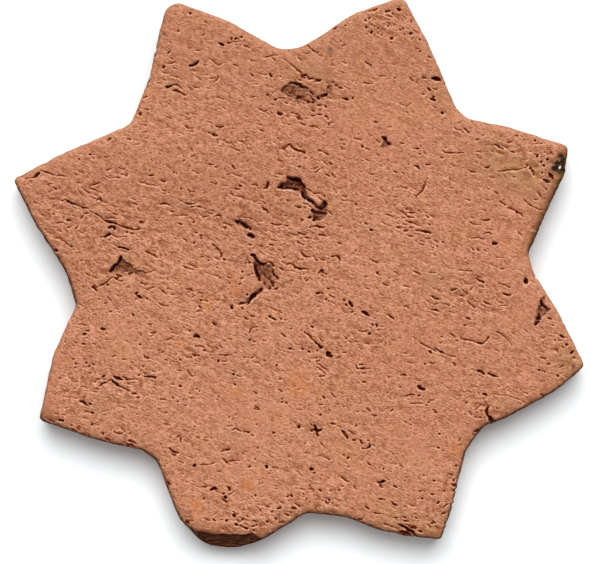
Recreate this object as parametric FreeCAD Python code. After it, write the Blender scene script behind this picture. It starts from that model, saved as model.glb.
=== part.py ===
import FreeCAD, Part
import math
import os

# Star-shaped floor tile of red clay, cut from a slab by hand and fired in one piece.
# Millimetres. The origin is the centre of the star on the underside, +Z leaves through the face,
# and +X and +Y each leave through a notch between two points.

# Driving dimensions
STAR_REACH = 99.5       # centre to each point of the ideal star
THICKNESS = 15.0        # underside to face
FACE_ARRIS = 1.2        # wear round the edge of the face
BACK_ARRIS = 1.0        # wear round the edge of the underside

# The star is two equal squares laid over each other, one turned by half a right angle.
# Its corners are a notch, a point, a notch and so on, a sixteenth of a turn apart.
CORNER_STEP = 22.5
NOTCH_SHARE = math.cos(math.radians(2 * CORNER_STEP)) / math.cos(math.radians(CORNER_STEP))

# How the hand-cut outline leaves the ideal one, anticlockwise from the notch on +X. Each row is
# one corner: how far it stands out, how many degrees it is turned and how far it is rounded, and
# then the bends of the edge that follows it. A bend is its share of the way along the edge, how
# far it stands out from the straight edge, and its radius.
HAND_CUT = (
    (-1.4, 2.0, 2.7, ((0.78, 2.1, 3.0),)),
    (-1.5, -0.1, 1.8, ((0.54, 0.9, 27.0),)),
    (-1.6, -2.8, 10.0, ((0.54, 1.0, 30.0),)),
    (0.1, -1.0, 3.0, ((0.46, 2.3, 20.0),)),
    (0.4, -3.1, 13.0, ((0.15, -2.4, 7.0), (0.56, 0.2, 23.0))),
    (4.8, -0.7, 5.3, ((0.65, -1.4, 27.0),)),
    (1.4, -0.9, 6.0, ((0.51, 0.7, 40.0),)),
    (3.6, -0.7, 1.8, ((0.35, 0.2, 40.0), (0.75, -1.9, 16.0))),
    (0.6, 2.1, 4.0, ((0.46, 2.0, 33.0),)),
    (1.0, 1.0, 1.8, ((0.45, 0.5, 60.0), (0.87, -1.5, 6.0))),
    (1.9, 1.2, 7.0, ((0.62, 3.0, 17.0),)),
    (-4.6, -2.9, 9.0, ((0.21, 3.9, 10.0), (0.40, 2.2, 14.0), (0.74, -3.9, 5.0))),
    (4.4, 5.3, 4.5, ((0.40, 1.8, 20.0),)),
    (-1.2, 0.5, 1.8, ((0.32, -0.3, 20.0), (0.74, -2.3, 9.0))),
    (0.5, 0.7, 8.0, ((0.24, 1.7, 20.0), (0.70, 2.1, 17.0))),
    (-1.9, 0.7, 2.3, ((0.40, 0.4, 60.0), (0.83, -1.1, 20.0))),
)

# Places on the face are given to the right and up from the centre, with the star turned this much
# anticlockwise, as it lies under the camera.
VIEW_TURN = 4.37

# Where bits of clay tore out of the face or never filled it. Each hollow has a ragged outline, a
# depth at its middle, and a floor that falls towards the upper left, in millimetres for each
# millimetre across.
TORN_PATCH = (
    (-8.2, 62.5), (-5.1, 65.4), (-3.0, 65.6), (0.1, 63.5), (3.9, 60.9), (7.3, 62.2), (7.7, 64.2),
    (8.7, 65.9), (12.5, 63.4), (8.8, 62.0), (8.7, 60.4), (3.5, 58.8), (-2.6, 58.3), (-3.4, 60.1),
    (-5.3, 59.1), (-6.1, 61.0),
)
KEY_HOLLOW = (
    (-9.2, 30.5), (-7.8, 32.0), (-6.3, 31.9), (-6.0, 34.1), (-1.9, 33.6), (-1.1, 32.0), (0.0, 30.6),
    (-0.2, 29.3), (0.6, 27.5), (3.6, 24.9), (4.6, 23.8), (5.5, 24.8), (6.0, 25.9), (7.1, 24.5),
    (6.6, 23.3), (7.1, 21.6), (5.9, 20.2), (2.4, 19.2), (2.7, 21.1), (2.1, 23.1), (3.6, 22.7),
    (2.4, 24.6), (-0.2, 26.4), (-1.6, 28.7), (-4.1, 29.6), (-7.5, 29.6),
)
MIDDLE_HOLLOW = (
    (-17.3, 7.9), (-16.0, 6.2), (-14.8, 5.3), (-11.2, 4.7), (-10.9, 2.4), (-8.6, 0.1), (-9.2, -0.6),
    (-10.3, -0.2), (-10.7, -2.2), (-12.3, -3.6), (-14.8, -0.4), (-16.3, 0.9), (-17.1, 4.1),
)
MIDDLE_GASH = (
    (-13.8, -3.4), (-15.2, -5.1), (-17.7, -7.1), (-19.1, -8.6), (-20.1, -8.3), (-18.3, -5.7),
    (-16.0, -3.8), (-14.4, -2.8),
)
LEFT_HOLLOW = (
    (-61.4, 7.8), (-60.5, 6.2), (-57.6, 3.8), (-56.2, 2.7), (-54.2, 2.7), (-52.8, 2.0), (-53.0, 0.7),
    (-55.4, 0.9), (-57.1, 1.8), (-58.7, 1.0), (-59.1, 2.4), (-62.9, 2.3), (-64.8, 1.7), (-65.4, 2.9),
    (-63.5, 4.4), (-62.6, 5.8),
)
RIGHT_HOLLOW = (
    (78.6, -7.0), (79.1, -8.5), (81.5, -10.1), (80.9, -11.2), (79.0, -13.2), (77.6, -14.4),
    (76.2, -15.6), (76.9, -13.9), (77.2, -10.4), (78.0, -8.9),
)
STAR_PIT = (
    (25.6, 47.3), (26.9, 46.5), (28.8, 44.4), (27.1, 43.8), (25.9, 43.5), (25.0, 44.3), (26.2, 45.1),
)
UPPER_PIT = (
    (-23.8, 18.9), (-22.0, 19.6), (-18.9, 17.8), (-17.9, 16.3), (-19.8, 16.6), (-21.6, 17.7),
)
LOWER_PIT = ((-19.7, 14.9), (-17.5, 15.0), (-17.1, 13.3), (-17.9, 13.2))

HOLLOWS = (
    (TORN_PATCH, 1.3, 0.06),
    (KEY_HOLLOW, 2.6, 0.04),
    (MIDDLE_HOLLOW, 1.8, 0.06),
    (MIDDLE_GASH, 1.9, 0.05),
    (LEFT_HOLLOW, 1.9, 0.06),
    (RIGHT_HOLLOW, 1.8, 0.06),
    (STAR_PIT, 2.0, 0.05),
    (UPPER_PIT, 1.8, 0.08),
    (LOWER_PIT, 1.6, 0.08),
)

# One point has lost its upper edge. The break starts on the face along this line, and falls this
# far for its width.
BREAK_START = (-39.5, -83.2)
BREAK_END = (-14.0, -86.2)
BREAK_WIDTH = 5.0
BREAK_FALL = 8.0
BREAK_ABOVE = 0.2       # how far the cut runs on above its start, as a share of that slope
BREAK_BELOW = 1.6       # and below it, to clear the edge of the tile
CLEARANCE = 15.0        # how far a cutting tool reaches past what it cuts
SAME_HEIGHT = 0.01      # edges this close to a height lie at it


def on_the_face(right, up, height=0.0):
    """The point of the tile at this place under the camera."""
    turn = math.radians(-VIEW_TURN)
    x = right * math.cos(turn) - up * math.sin(turn)
    y = right * math.sin(turn) + up * math.cos(turn)
    return FreeCAD.Vector(x, y, height)


def corner(index):
    """Corner of the hand-cut star: even ones are notches, odd ones points."""
    out, turned, _, _ = HAND_CUT[index]
    share = NOTCH_SHARE if index % 2 == 0 else 1.0
    reach = STAR_REACH * share + out
    angle = math.radians(index * CORNER_STEP + turned)
    return FreeCAD.Vector(reach * math.cos(angle), reach * math.sin(angle), 0)


def outline_knots():
    """Every corner and bend of the outline with its radius, anticlockwise."""
    knots = []
    for index, (_, _, radius, bends) in enumerate(HAND_CUT):
        start = corner(index)
        run = corner((index + 1) % len(HAND_CUT)) - start
        outward = FreeCAD.Vector(run.y, -run.x, 0).normalize()
        knots.append((start, radius))
        for along, bow, bend_radius in bends:
            knots.append((start + run * along + outward * bow, bend_radius))
    return knots


def rounded_outline(knots):
    """Closed wire of straight runs, joined at each knot by an arc that is tangent to both."""
    arcs = []
    for index, (knot, radius) in enumerate(knots):
        back = (knots[index - 1][0] - knot).normalize()
        ahead = (knots[(index + 1) % len(knots)][0] - knot).normalize()
        half = back.getAngle(ahead) / 2
        inward = (back + ahead).normalize()
        centre = knot + inward * (radius / math.sin(half))
        setback = radius / math.tan(half)
        arcs.append((knot + back * setback, centre - inward * radius, knot + ahead * setback))
    edges = []
    for index, (start, middle, end) in enumerate(arcs):
        edges.append(Part.Arc(start, middle, end).toShape())
        edges.append(Part.makeLine(end, arcs[(index + 1) % len(arcs)][0]))
    return Part.Wire(edges)


def edges_at(solid, height):
    """The edges of a solid that lie flat at one height."""
    flat = []
    for edge in solid.Edges:
        box = edge.BoundBox
        if abs(box.ZMin - height) < SAME_HEIGHT and abs(box.ZMax - height) < SAME_HEIGHT:
            flat.append(edge)
    return flat


def star_blank():
    """The slab cut to a star, with the edges of its face and underside worn round."""
    slab = Part.Face(rounded_outline(outline_knots())).extrude(FreeCAD.Vector(0, 0, THICKNESS))
    slab = slab.makeFillet(FACE_ARRIS, edges_at(slab, THICKNESS))
    return slab.makeFillet(BACK_ARRIS, edges_at(slab, 0))


def hollow(outline, depth, fall):
    """Tool for one hollow: its ragged outline on a slanting floor, up to clear of the face."""
    middle_right = sum(right for right, _ in outline) / len(outline)
    middle_up = sum(up for _, up in outline) / len(outline)
    floor = []
    for right, up in outline:
        rise = fall * ((right - middle_right) - (up - middle_up))
        floor.append(on_the_face(right, up, THICKNESS - depth + rise))
    floor.append(floor[0])
    return Part.Face(Part.makePolygon(floor)).extrude(FreeCAD.Vector(0, 0, CLEARANCE))


def broken_edge():
    """Tool for the lost upper edge of one point: all that lies outside a steep slanting plane."""
    start = on_the_face(*BREAK_START, THICKNESS)
    along = (on_the_face(*BREAK_END, THICKNESS) - start).normalize()
    outward = FreeCAD.Vector(along.y, -along.x, 0)
    slope = outward * BREAK_WIDTH - FreeCAD.Vector(0, 0, BREAK_FALL)
    top = start - slope * BREAK_ABOVE - along * CLEARANCE
    foot = start + slope * BREAK_BELOW - along * CLEARANCE
    far_foot = foot + outward * CLEARANCE
    far_top = FreeCAD.Vector(far_foot.x, far_foot.y, top.z)
    profile = Part.Face(Part.makePolygon([top, foot, far_foot, far_top, top]))
    length = (on_the_face(*BREAK_END) - on_the_face(*BREAK_START)).Length + 2 * CLEARANCE
    return profile.extrude(along * length)


def star_tile():
    """The whole tile, one piece of fired clay."""
    tools = [hollow(*each) for each in HOLLOWS]
    tools.append(broken_edge())
    return star_blank().cut(tools)


os.makedirs("parts", exist_ok=True)
star_tile().exportStep("parts/star_tile.step")
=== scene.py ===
import math

import bmesh
import bpy
import numpy as np
from mathutils import Matrix, Vector
from mathutils.bvhtree import BVHTree
from mathutils.geometry import delaunay_2d_cdt


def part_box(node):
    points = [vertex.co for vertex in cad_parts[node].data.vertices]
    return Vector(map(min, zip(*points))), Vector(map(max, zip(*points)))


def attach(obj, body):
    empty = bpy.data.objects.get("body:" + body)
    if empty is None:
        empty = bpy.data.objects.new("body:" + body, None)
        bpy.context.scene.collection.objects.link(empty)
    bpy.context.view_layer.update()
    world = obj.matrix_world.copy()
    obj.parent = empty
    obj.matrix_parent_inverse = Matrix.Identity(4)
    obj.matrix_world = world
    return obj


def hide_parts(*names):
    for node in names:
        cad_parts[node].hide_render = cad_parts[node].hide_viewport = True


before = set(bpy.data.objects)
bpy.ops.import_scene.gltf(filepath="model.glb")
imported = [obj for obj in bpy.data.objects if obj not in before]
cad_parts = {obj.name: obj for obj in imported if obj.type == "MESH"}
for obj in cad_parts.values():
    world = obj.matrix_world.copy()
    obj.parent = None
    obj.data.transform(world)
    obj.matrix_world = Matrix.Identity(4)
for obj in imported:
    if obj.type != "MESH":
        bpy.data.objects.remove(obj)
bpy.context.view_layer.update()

# The slab
# A slab of red clay about 15 mm thick, rolled out by hand on a board, cut to a star with a knife
# and fired in one piece. Its outline and its large hollows are those of the CAD tile.

MM = 0.001
cad_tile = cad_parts["star_tile"]
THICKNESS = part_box("star_tile")[1].z / MM
VIEW_TURN = math.radians(4.37)      # the star lies turned this much under the camera
ACROSS = Vector((math.cos(VIEW_TURN), -math.sin(VIEW_TURN)))
UPWARD = Vector((math.sin(VIEW_TURN), math.cos(VIEW_TURN)))
SLICE = 5.0                         # mm above the underside, where every edge is whole
WELD = 0.01                         # mm, points of the CAD tile this close are one
RIM_STEP = 0.3                      # mm between the points of the outline
RIM_REACH = 2                       # points each way that give the outline its direction


def under_camera(x, y):
    """Millimetres to the right and up from the star's centre, as it lies under the camera."""
    return x * ACROSS.x + y * ACROSS.y, x * UPWARD.x + y * UPWARD.y


def on_the_tile(right, up):
    """The tile's own x and y, in millimetres, of a place given to the right and up."""
    return right * ACROSS.x + up * UPWARD.x, right * ACROSS.y + up * UPWARD.y


def outline_at(node, height):
    """The closed line in which a level plane cuts a node, anticlockwise, in millimetres."""
    work = bmesh.new()
    work.from_mesh(node.data)
    bmesh.ops.remove_doubles(work, verts=work.verts, dist=WELD * MM)
    parts = work.verts[:] + work.edges[:] + work.faces[:]
    bmesh.ops.bisect_plane(work, geom=parts, plane_co=(0, 0, height * MM), plane_no=(0, 0, 1),
                           clear_inner=True, clear_outer=True)
    here = work.verts[:][0]
    last = None
    line = []
    while not line or here is not line[0]:
        line.append(here)
        ways = [edge.other_vert(here) for edge in here.link_edges]
        here, last = (ways[0] if ways[0] is not last else ways[1]), here
    points = np.array([vert.co[:2] for vert in line]) / MM
    work.free()
    ahead = np.roll(points, -1, axis=0)
    turns = (points[:, 0] * ahead[:, 1] - points[:, 1] * ahead[:, 0]).sum()
    return points if turns > 0 else points[::-1]


def evenly_spaced(line, step):
    """A closed line with its points moved to an even spacing."""
    closed = np.vstack([line, line[:1]])
    run = np.concatenate([[0], np.cumsum(np.hypot(*np.diff(closed, axis=0).T))])
    places = np.linspace(0, run[-1], int(run[-1] / step), endpoint=False)
    return np.stack([np.interp(places, run, closed[:, 0]), np.interp(places, run, closed[:, 1])], 1)


rim = evenly_spaced(outline_at(cad_tile, SLICE), RIM_STEP)
rim = np.stack(under_camera(rim[:, 0], rim[:, 1]), 1)
rim_run = np.roll(rim, -RIM_REACH, axis=0) - np.roll(rim, RIM_REACH, axis=0)
rim_outward = np.stack([rim_run[:, 1], -rim_run[:, 0]], 1) / np.hypot(*rim_run.T)[:, None]

# The face of the clay
# The upper side of the slab, rolled while the clay was stiff, so that its grain runs across and down.
# It is kept as a relief map, a height for each place of a lattice a fraction of a millimetre wide.

LATTICE = (0.26, 0.18)              # mm, across and up
MARGIN = 3.0                        # mm of lattice past the outline
GRAIN = math.radians(-22)           # how the drag marks of the roller lie
BLUR_TAIL = 2.5                     # a blur runs on for this many times its reach
EDGE_REACH = 6.0                    # mm in from the outline, as far as its nearness matters
SURELY_INSIDE = 0.6                 # mm in from the outline
ABOVE = 10.0                        # mm over the face, where a look down on the CAD tile starts
HOLLOW_WEAR = 0.2                   # mm, over which the edges of the hollows are worn soft
seeds = np.random.default_rng(20542)

lattice_start = rim.min(axis=0) - MARGIN
lattice_end = rim.max(axis=0) + MARGIN
columns = np.arange(lattice_start[0], lattice_end[0], LATTICE[0])
rows = np.arange(lattice_start[1], lattice_end[1], LATTICE[1])
RIGHT, UP = np.meshgrid(columns, rows)


def lumps(length, width, slant=GRAIN):
    """Seeded unevenness between -1 and 1 all over the face, of lumps this long and wide."""
    along = (RIGHT * math.cos(slant) + UP * math.sin(slant)) / length
    across = (UP * math.cos(slant) - RIGHT * math.sin(slant)) / width
    along = along - along.min()
    across = across - across.min()
    grid = seeds.uniform(-1, 1, (int(across.max()) + 2, int(along.max()) + 2))
    col, row = along.astype(int), across.astype(int)
    share, rise = along - col, across - row
    share = share * share * (3 - 2 * share)
    rise = rise * rise * (3 - 2 * rise)
    lower = grid[row, col] * (1 - share) + grid[row, col + 1] * share
    upper = grid[row + 1, col] * (1 - share) + grid[row + 1, col + 1] * share
    return lower * (1 - rise) + upper * rise


def softened(field, reach):
    """The same map blurred over this many millimetres."""
    for axis, step in ((0, LATTICE[1]), (1, LATTICE[0])):
        taps = int(BLUR_TAIL * reach / step) + 1
        weights = np.exp(-0.5 * (np.arange(-taps, taps + 1) * step / reach) ** 2)
        padded = np.pad(field, [(taps, taps) if axis == i else (0, 0) for i in (0, 1)], mode="edge")
        size = field.shape[axis]
        total = 0
        for tap, weight in enumerate(weights):
            part = padded[tap:tap + size] if axis == 0 else padded[:, tap:tap + size]
            total = total + weight * part
        field = total / weights.sum()
    return field


def read_at(field, right, up):
    """The value of a map at any places, between its lattice points."""
    col = np.clip((right - columns[0]) / LATTICE[0], 0, len(columns) - 1.001)
    row = np.clip((up - rows[0]) / LATTICE[1], 0, len(rows) - 1.001)
    whole_col, whole_row = col.astype(int), row.astype(int)
    share, rise = col - whole_col, row - whole_row
    corner = field[whole_row, whole_col]
    lower = corner * (1 - share) + field[whole_row, whole_col + 1] * share
    corner = field[whole_row + 1, whole_col]
    upper = corner * (1 - share) + field[whole_row + 1, whole_col + 1] * share
    return lower * (1 - rise) + upper * rise


# Every mark is torn a little out of its line, so places are looked up with a small shift, in mm.
TORN_RIGHT = RIGHT + 0.24 * lumps(0.8, 0.8) + 0.24 * lumps(2.4, 2.4)
TORN_UP = UP + 0.17 * lumps(0.8, 0.6) + 0.20 * lumps(2.4, 2.0)

# No tear is as wide all along: the share of its width that it has at each place.
PINCH = 1.0 + 0.32 * lumps(1.1, 1.1) + 0.28 * lumps(2.6, 2.6)

# How far each place of the lattice lies inside the outline. Outside it is less than nought.
inset = np.full(RIGHT.shape, EDGE_REACH)
wide, high = (int(2 * EDGE_REACH / step) for step in LATTICE)
for right, up in rim:
    first_row = int((up - EDGE_REACH - rows[0]) / LATTICE[1])
    first_col = int((right - EDGE_REACH - columns[0]) / LATTICE[0])
    around = np.s_[max(first_row, 0):first_row + high, max(first_col, 0):first_col + wide]
    inset[around] = np.minimum(inset[around], np.hypot(RIGHT[around] - right, UP[around] - up))
rim_next = np.roll(rim, -1, axis=0)
for row, up in enumerate(rows):
    crossing = (rim[:, 1] > up) != (rim_next[:, 1] > up)
    start, end = rim[crossing].T, rim_next[crossing].T
    cuts = np.sort(start[0] + (up - start[1]) * (end[0] - start[0]) / (end[1] - start[1]))
    outside = np.searchsorted(cuts, columns) % 2 == 0
    inset[row, outside] *= -1

# The heights of the CAD tile give the large hollows and the broken point.
tile_faces = BVHTree.FromObject(cad_tile, bpy.context.evaluated_depsgraph_get())
DOWN = Vector((0, 0, -1))
fall = np.zeros(RIGHT.shape)
for row, col in np.argwhere(inset > SURELY_INSIDE):
    x, y = on_the_tile(TORN_RIGHT[row, col], TORN_UP[row, col])
    hit = tile_faces.ray_cast(Vector((x, y, THICKNESS + ABOVE)) * MM, DOWN)[0]
    fall[row, col] = hit.z / MM - THICKNESS if hit else fall[row, col - 1]
worn_fall = softened(fall, HOLLOW_WEAR)

# Marks in the face
# Short nicks, pinholes and longer cracks where grit dragged, gas blew out or the clay tore. They are
# listed as the photo shows them, so they are given in pixels of its frame, 590 by 564: first the width of
# the dark line, then the places that it runs through. A pinhole has only one place.

PIXELS_PER_MM = 3.0
CENTRE_PIXEL = (305.0, 278.3)       # where the star's centre lies in the photo
HAIR = 1.0                          # px, the dark line of a hair crack, the finest mark
SPREAD = 0.7                        # px that a groove is wider than its dark line
# The dark bed of a groove is soil and painted shade together.
DARK_SHRINK = 0.2                   # px that the soil in it is narrower than the line
HAIR_DEPTH = 0.16                   # mm
WIDE_DEPTH = 0.34                   # mm more for each further pixel of width
WIDE_DEPTH_POWER = 1.1
HAIR_DARKNESS = 0.42                    # share of the soil that a deep pit holds
WIDE_DARKNESS = 0.30                    # more for each further pixel of width
PINHOLE_DARKNESS = 0.12                 # more in a pinhole
TIP_WIDTH = 0.55                    # of a groove, as a share of its greatest
MIDDLE_WIDTH = 0.45                 # what its middle has more
BED_ROUND = 0.8                     # power that rounds the bed of a groove
DARK_EDGE = (1.2, 0.8)              # how sharply the soil ends at the sides of the bed
# The lip under a groove is raised a little and painted pale as a highlight.
LIP_ROOM = 0.6                      # mm beside a groove that its lip may take
LEAST_LIP = 0.24                    # mm wide
LIP_WIDTH = 0.5                     # as a share of half the groove's width
LIP_HEIGHT = 0.35                   # as a share of its depth
LIP_ALL_ROUND = 0.2                 # share of the lip that runs on above the groove
LIP_PALE = 0.35                     # how pale the lip of a clean groove is
TOUCHING = 0.01                     # mm, keeps a division off nought

TOP_LEFT_POINT = (
    (1.5, 143, 124, 147, 126), (1.8, 140, 129), (1.2, 141, 132, 148, 132), (1.2, 144, 138, 148, 138),
    (1.2, 126, 138, 132, 139), (1.5, 107, 139, 111, 137), (1.2, 136, 144, 139, 143),
    (2.0, 139, 112, 141, 115), (1.6, 142, 98, 147, 96), (2.2, 149, 71, 148, 81), (3.0, 190, 13),
    (3.0, 178, 31), (2.5, 189, 66, 192, 65, 196, 63, 199, 61), (3.2, 163, 66),
    (1.2, 166, 63, 172, 62, 176, 61, 177, 63), (2.2, 168, 53, 170, 51), (1.5, 195, 50, 201, 50),
    (1.0, 190, 55, 194, 57), (1.2, 208, 58, 214, 62, 218, 65, 223, 63), (2.8, 218, 42.5, 223, 44.5),
    (1.8, 227, 42, 231, 43), (2.5, 231, 38), (2.5, 235, 38), (2.5, 238, 39), (2.3, 241, 37),
    (1.5, 230, 40.5, 234, 41, 240, 41), (1.5, 236, 44), (1.5, 240, 45), (1.6, 244, 46, 248, 46, 250, 48),
    (1.3, 252, 50, 256, 52), (1.3, 222, 52, 226, 53), (1.3, 250, 59, 253, 61), (1.3, 233, 64, 239, 66),
    (1.2, 262, 57, 272, 55, 278, 55), (1.2, 271, 57, 275, 60), (2.0, 155, 48, 155, 56),
)
UPPER_LEFT = (
    (1.6, 283, 58, 290, 63, 297, 70, 302, 74, 307, 75, 309, 79, 315, 79, 321, 80), (2.0, 250, 74, 254, 76),
    (1.2, 259, 73, 266, 75), (2.1, 268, 73, 272, 76), (1.3, 214, 82, 217, 78, 217, 75),
    (2.8, 166.5, 86.5, 169, 86, 171.5, 85), (1.8, 172, 84, 177, 84.5, 182, 88), (1.3, 163, 79, 166, 80),
    (1.1, 160, 71, 168, 73), (1.3, 170, 75, 178, 77, 182, 80), (2.2, 173, 91, 176, 90, 180, 92, 185, 95),
    (1.2, 189, 87, 192, 90), (1.2, 193, 86, 200, 88), (1.2, 206, 88, 210, 88),
    (1.3, 216, 97, 220, 98, 223, 100), (1.2, 210, 103, 213, 104), (1.3, 222, 107, 226, 109),
    (2.1, 250, 97, 254, 96), (2.0, 265, 94, 268, 94), (1.2, 269, 97, 273, 91, 276, 91),
    (1.2, 275, 99, 278, 99), (1.2, 278, 97, 285, 98), (1.2, 284, 102, 287, 103),
    (1.7, 258, 109, 261, 109, 263, 111, 267, 110), (2.1, 277, 112, 281, 114),
    (1.6, 289, 112, 297, 114, 302, 120), (1.3, 256, 123, 262, 125), (1.2, 258, 129, 266, 131),
    (1.1, 280, 122, 290, 125), (2.0, 216, 126, 221, 127, 224, 126), (1.9, 208, 132, 213, 134, 217, 135),
    (1.9, 185, 126, 189, 128.5), (1.3, 189, 131, 193, 132), (1.2, 179, 132, 184, 134),
    (1.2, 165, 128, 168, 128), (1.3, 167, 116, 171, 118), (1.6, 155, 103), (1.3, 160, 88, 162, 89),
    (1.2, 220, 140, 226, 142, 231, 142), (1.2, 238, 140, 245, 143), (1.2, 196, 143, 199, 144),
    (1.2, 229, 146, 239, 151), (1.2, 272, 141, 276, 143),
)
TOP_RIGHT_POINT = (
    (2.0, 384, 12, 387, 11), (1.6, 387, 10, 390, 11), (2.4, 396, 8, 400, 10), (1.6, 387, 15, 392, 17),
    (1.4, 391, 12, 394, 14), (1.2, 394, 16, 398, 19), (2.4, 384, 19), (1.7, 365, 20), (1.7, 369, 18),
    (2.9, 388, 26), (1.7, 371, 24), (1.7, 374, 26), (2.4, 365, 27), (1.7, 378, 28), (1.7, 381, 29),
    (1.7, 402, 28), (1.7, 408, 22), (1.7, 411, 21), (2.2, 410, 33), (2.4, 371, 32), (1.7, 378, 33),
    (1.7, 382, 34), (1.7, 366, 34), (1.7, 404, 34), (2.9, 391, 38), (1.7, 395, 36), (1.7, 411, 39),
    (1.6, 396, 30), (1.6, 399, 29), (1.8, 418, 38, 420, 40), (1.6, 420, 51), (1.6, 428, 56), (1.6, 430, 57),
    (1.6, 368, 12, 372, 10, 378, 8), (2.0, 345, 25), (1.6, 333, 29, 336, 27), (1.6, 350, 20),
    (2.0, 340, 41), (1.6, 308, 44, 310, 47, 314, 51, 318, 54, 322, 56), (1.3, 314, 52, 319, 52),
    (1.3, 304, 54, 309, 53), (1.3, 297, 56, 301, 60), (1.3, 342, 61, 346, 64),
    (1.8, 365, 62, 369, 64, 370, 66), (1.8, 331, 56), (1.2, 341, 46, 346, 45),
)
TORN_PATCH_EDGES = (
    (2.2, 281, 89.5, 284, 87, 287, 84.5, 289, 83.2), (2.8, 289, 83, 293, 82.6, 297, 84),
    (1.9, 298, 79, 300.5, 80.5), (2.4, 296.5, 82, 300, 84.5, 301, 86), (2.3, 301, 86.5, 304, 87, 308, 88.6),
    (3.0, 288, 92.5, 291, 92), (2.0, 286.5, 94.5, 290.5, 95.5), (3.6, 296, 98, 299, 96.5, 301, 96.5),
    (1.6, 296, 96.5, 299, 94.5), (1.8, 309, 90, 311, 92.5, 314, 94.5),
    (1.6, 307, 94, 309, 95, 311, 98, 313.5, 99.5), (2.0, 303, 99, 306, 100, 309, 102),
    (2.2, 311, 101, 314, 102.5), (1.6, 296, 102, 298, 103.5), (3.4, 316.5, 96.5, 319, 99),
    (3.0, 321, 96, 324, 94.8, 327, 93.5), (2.0, 323.5, 91.5), (2.6, 328.5, 85.5, 328, 88),
    (1.6, 331, 82, 333, 83), (1.8, 334, 84, 337.5, 85.5), (2.0, 339, 87, 342, 88.5),
    (1.4, 344, 85.5, 348, 88, 350, 89), (1.8, 330, 97, 331.5, 98), (2.4, 342, 97.5, 348, 99.5),
    (1.6, 347, 98), (1.8, 299, 74.5, 303, 76.5, 306, 75), (2.0, 308, 79.5, 311.5, 78.5, 313, 79),
    (2.0, 314, 80.5, 319, 81, 321, 80), (1.5, 280, 76.5), (1.3, 281.5, 78.5), (2.4, 277, 113, 281, 114),
    (2.0, 290, 112.5, 292, 113), (1.6, 294, 115, 297, 117.5, 300, 120), (1.8, 310, 109.5, 314, 111),
    (2.0, 307.5, 115, 309, 115), (1.6, 311, 115.5, 315, 115.5), (1.5, 315, 113.5, 321, 114),
    (2.0, 324, 115, 327, 116.5), (2.0, 328, 118.5), (2.0, 324.5, 105, 326, 107),
    (1.4, 316, 105.5, 322, 104.5), (1.4, 317, 109.5, 321, 108.5), (2.0, 284, 102.5, 287, 103.5),
    (1.6, 278, 97, 285, 98.5), (1.6, 289, 100.5, 291, 99), (2.2, 274, 99.5, 276, 99.5), (1.6, 352, 81),
    (1.3, 380, 76, 384, 76), (1.7, 394, 78), (1.3, 363, 83, 373, 83), (1.7, 352, 98),
    (1.3, 308, 125, 314, 126, 319, 129), (2.4, 329, 124), (1.3, 420, 94, 424, 94),
    (1.1, 365, 130, 371, 136), (1.1, 405, 132, 409, 136),
    (1.2, 396, 102, 402, 104, 407, 106, 410, 103, 413, 103), (1.2, 372, 121, 378, 122),
    (1.2, 386, 126, 391, 127), (1.3, 354, 138, 361, 140), (1.5, 339, 139, 343, 139),
    (1.4, 342, 143, 345, 144), (2.0, 361, 144, 363, 147), (1.4, 365, 148, 369, 150),
    (3.6, 382.5, 137, 386, 139.5), (2.6, 386, 141, 389, 144), (1.4, 399, 142, 403, 143),
    (1.9, 414, 148, 419, 148), (3.6, 431, 78, 440, 79), (1.9, 422, 76, 425, 78), (2.7, 427, 88, 430, 90),
    (2.0, 436, 89), (1.4, 431, 87, 435, 89), (2.4, 430, 98, 435, 100), (2.0, 433, 96), (3.0, 442, 113),
)
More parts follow.
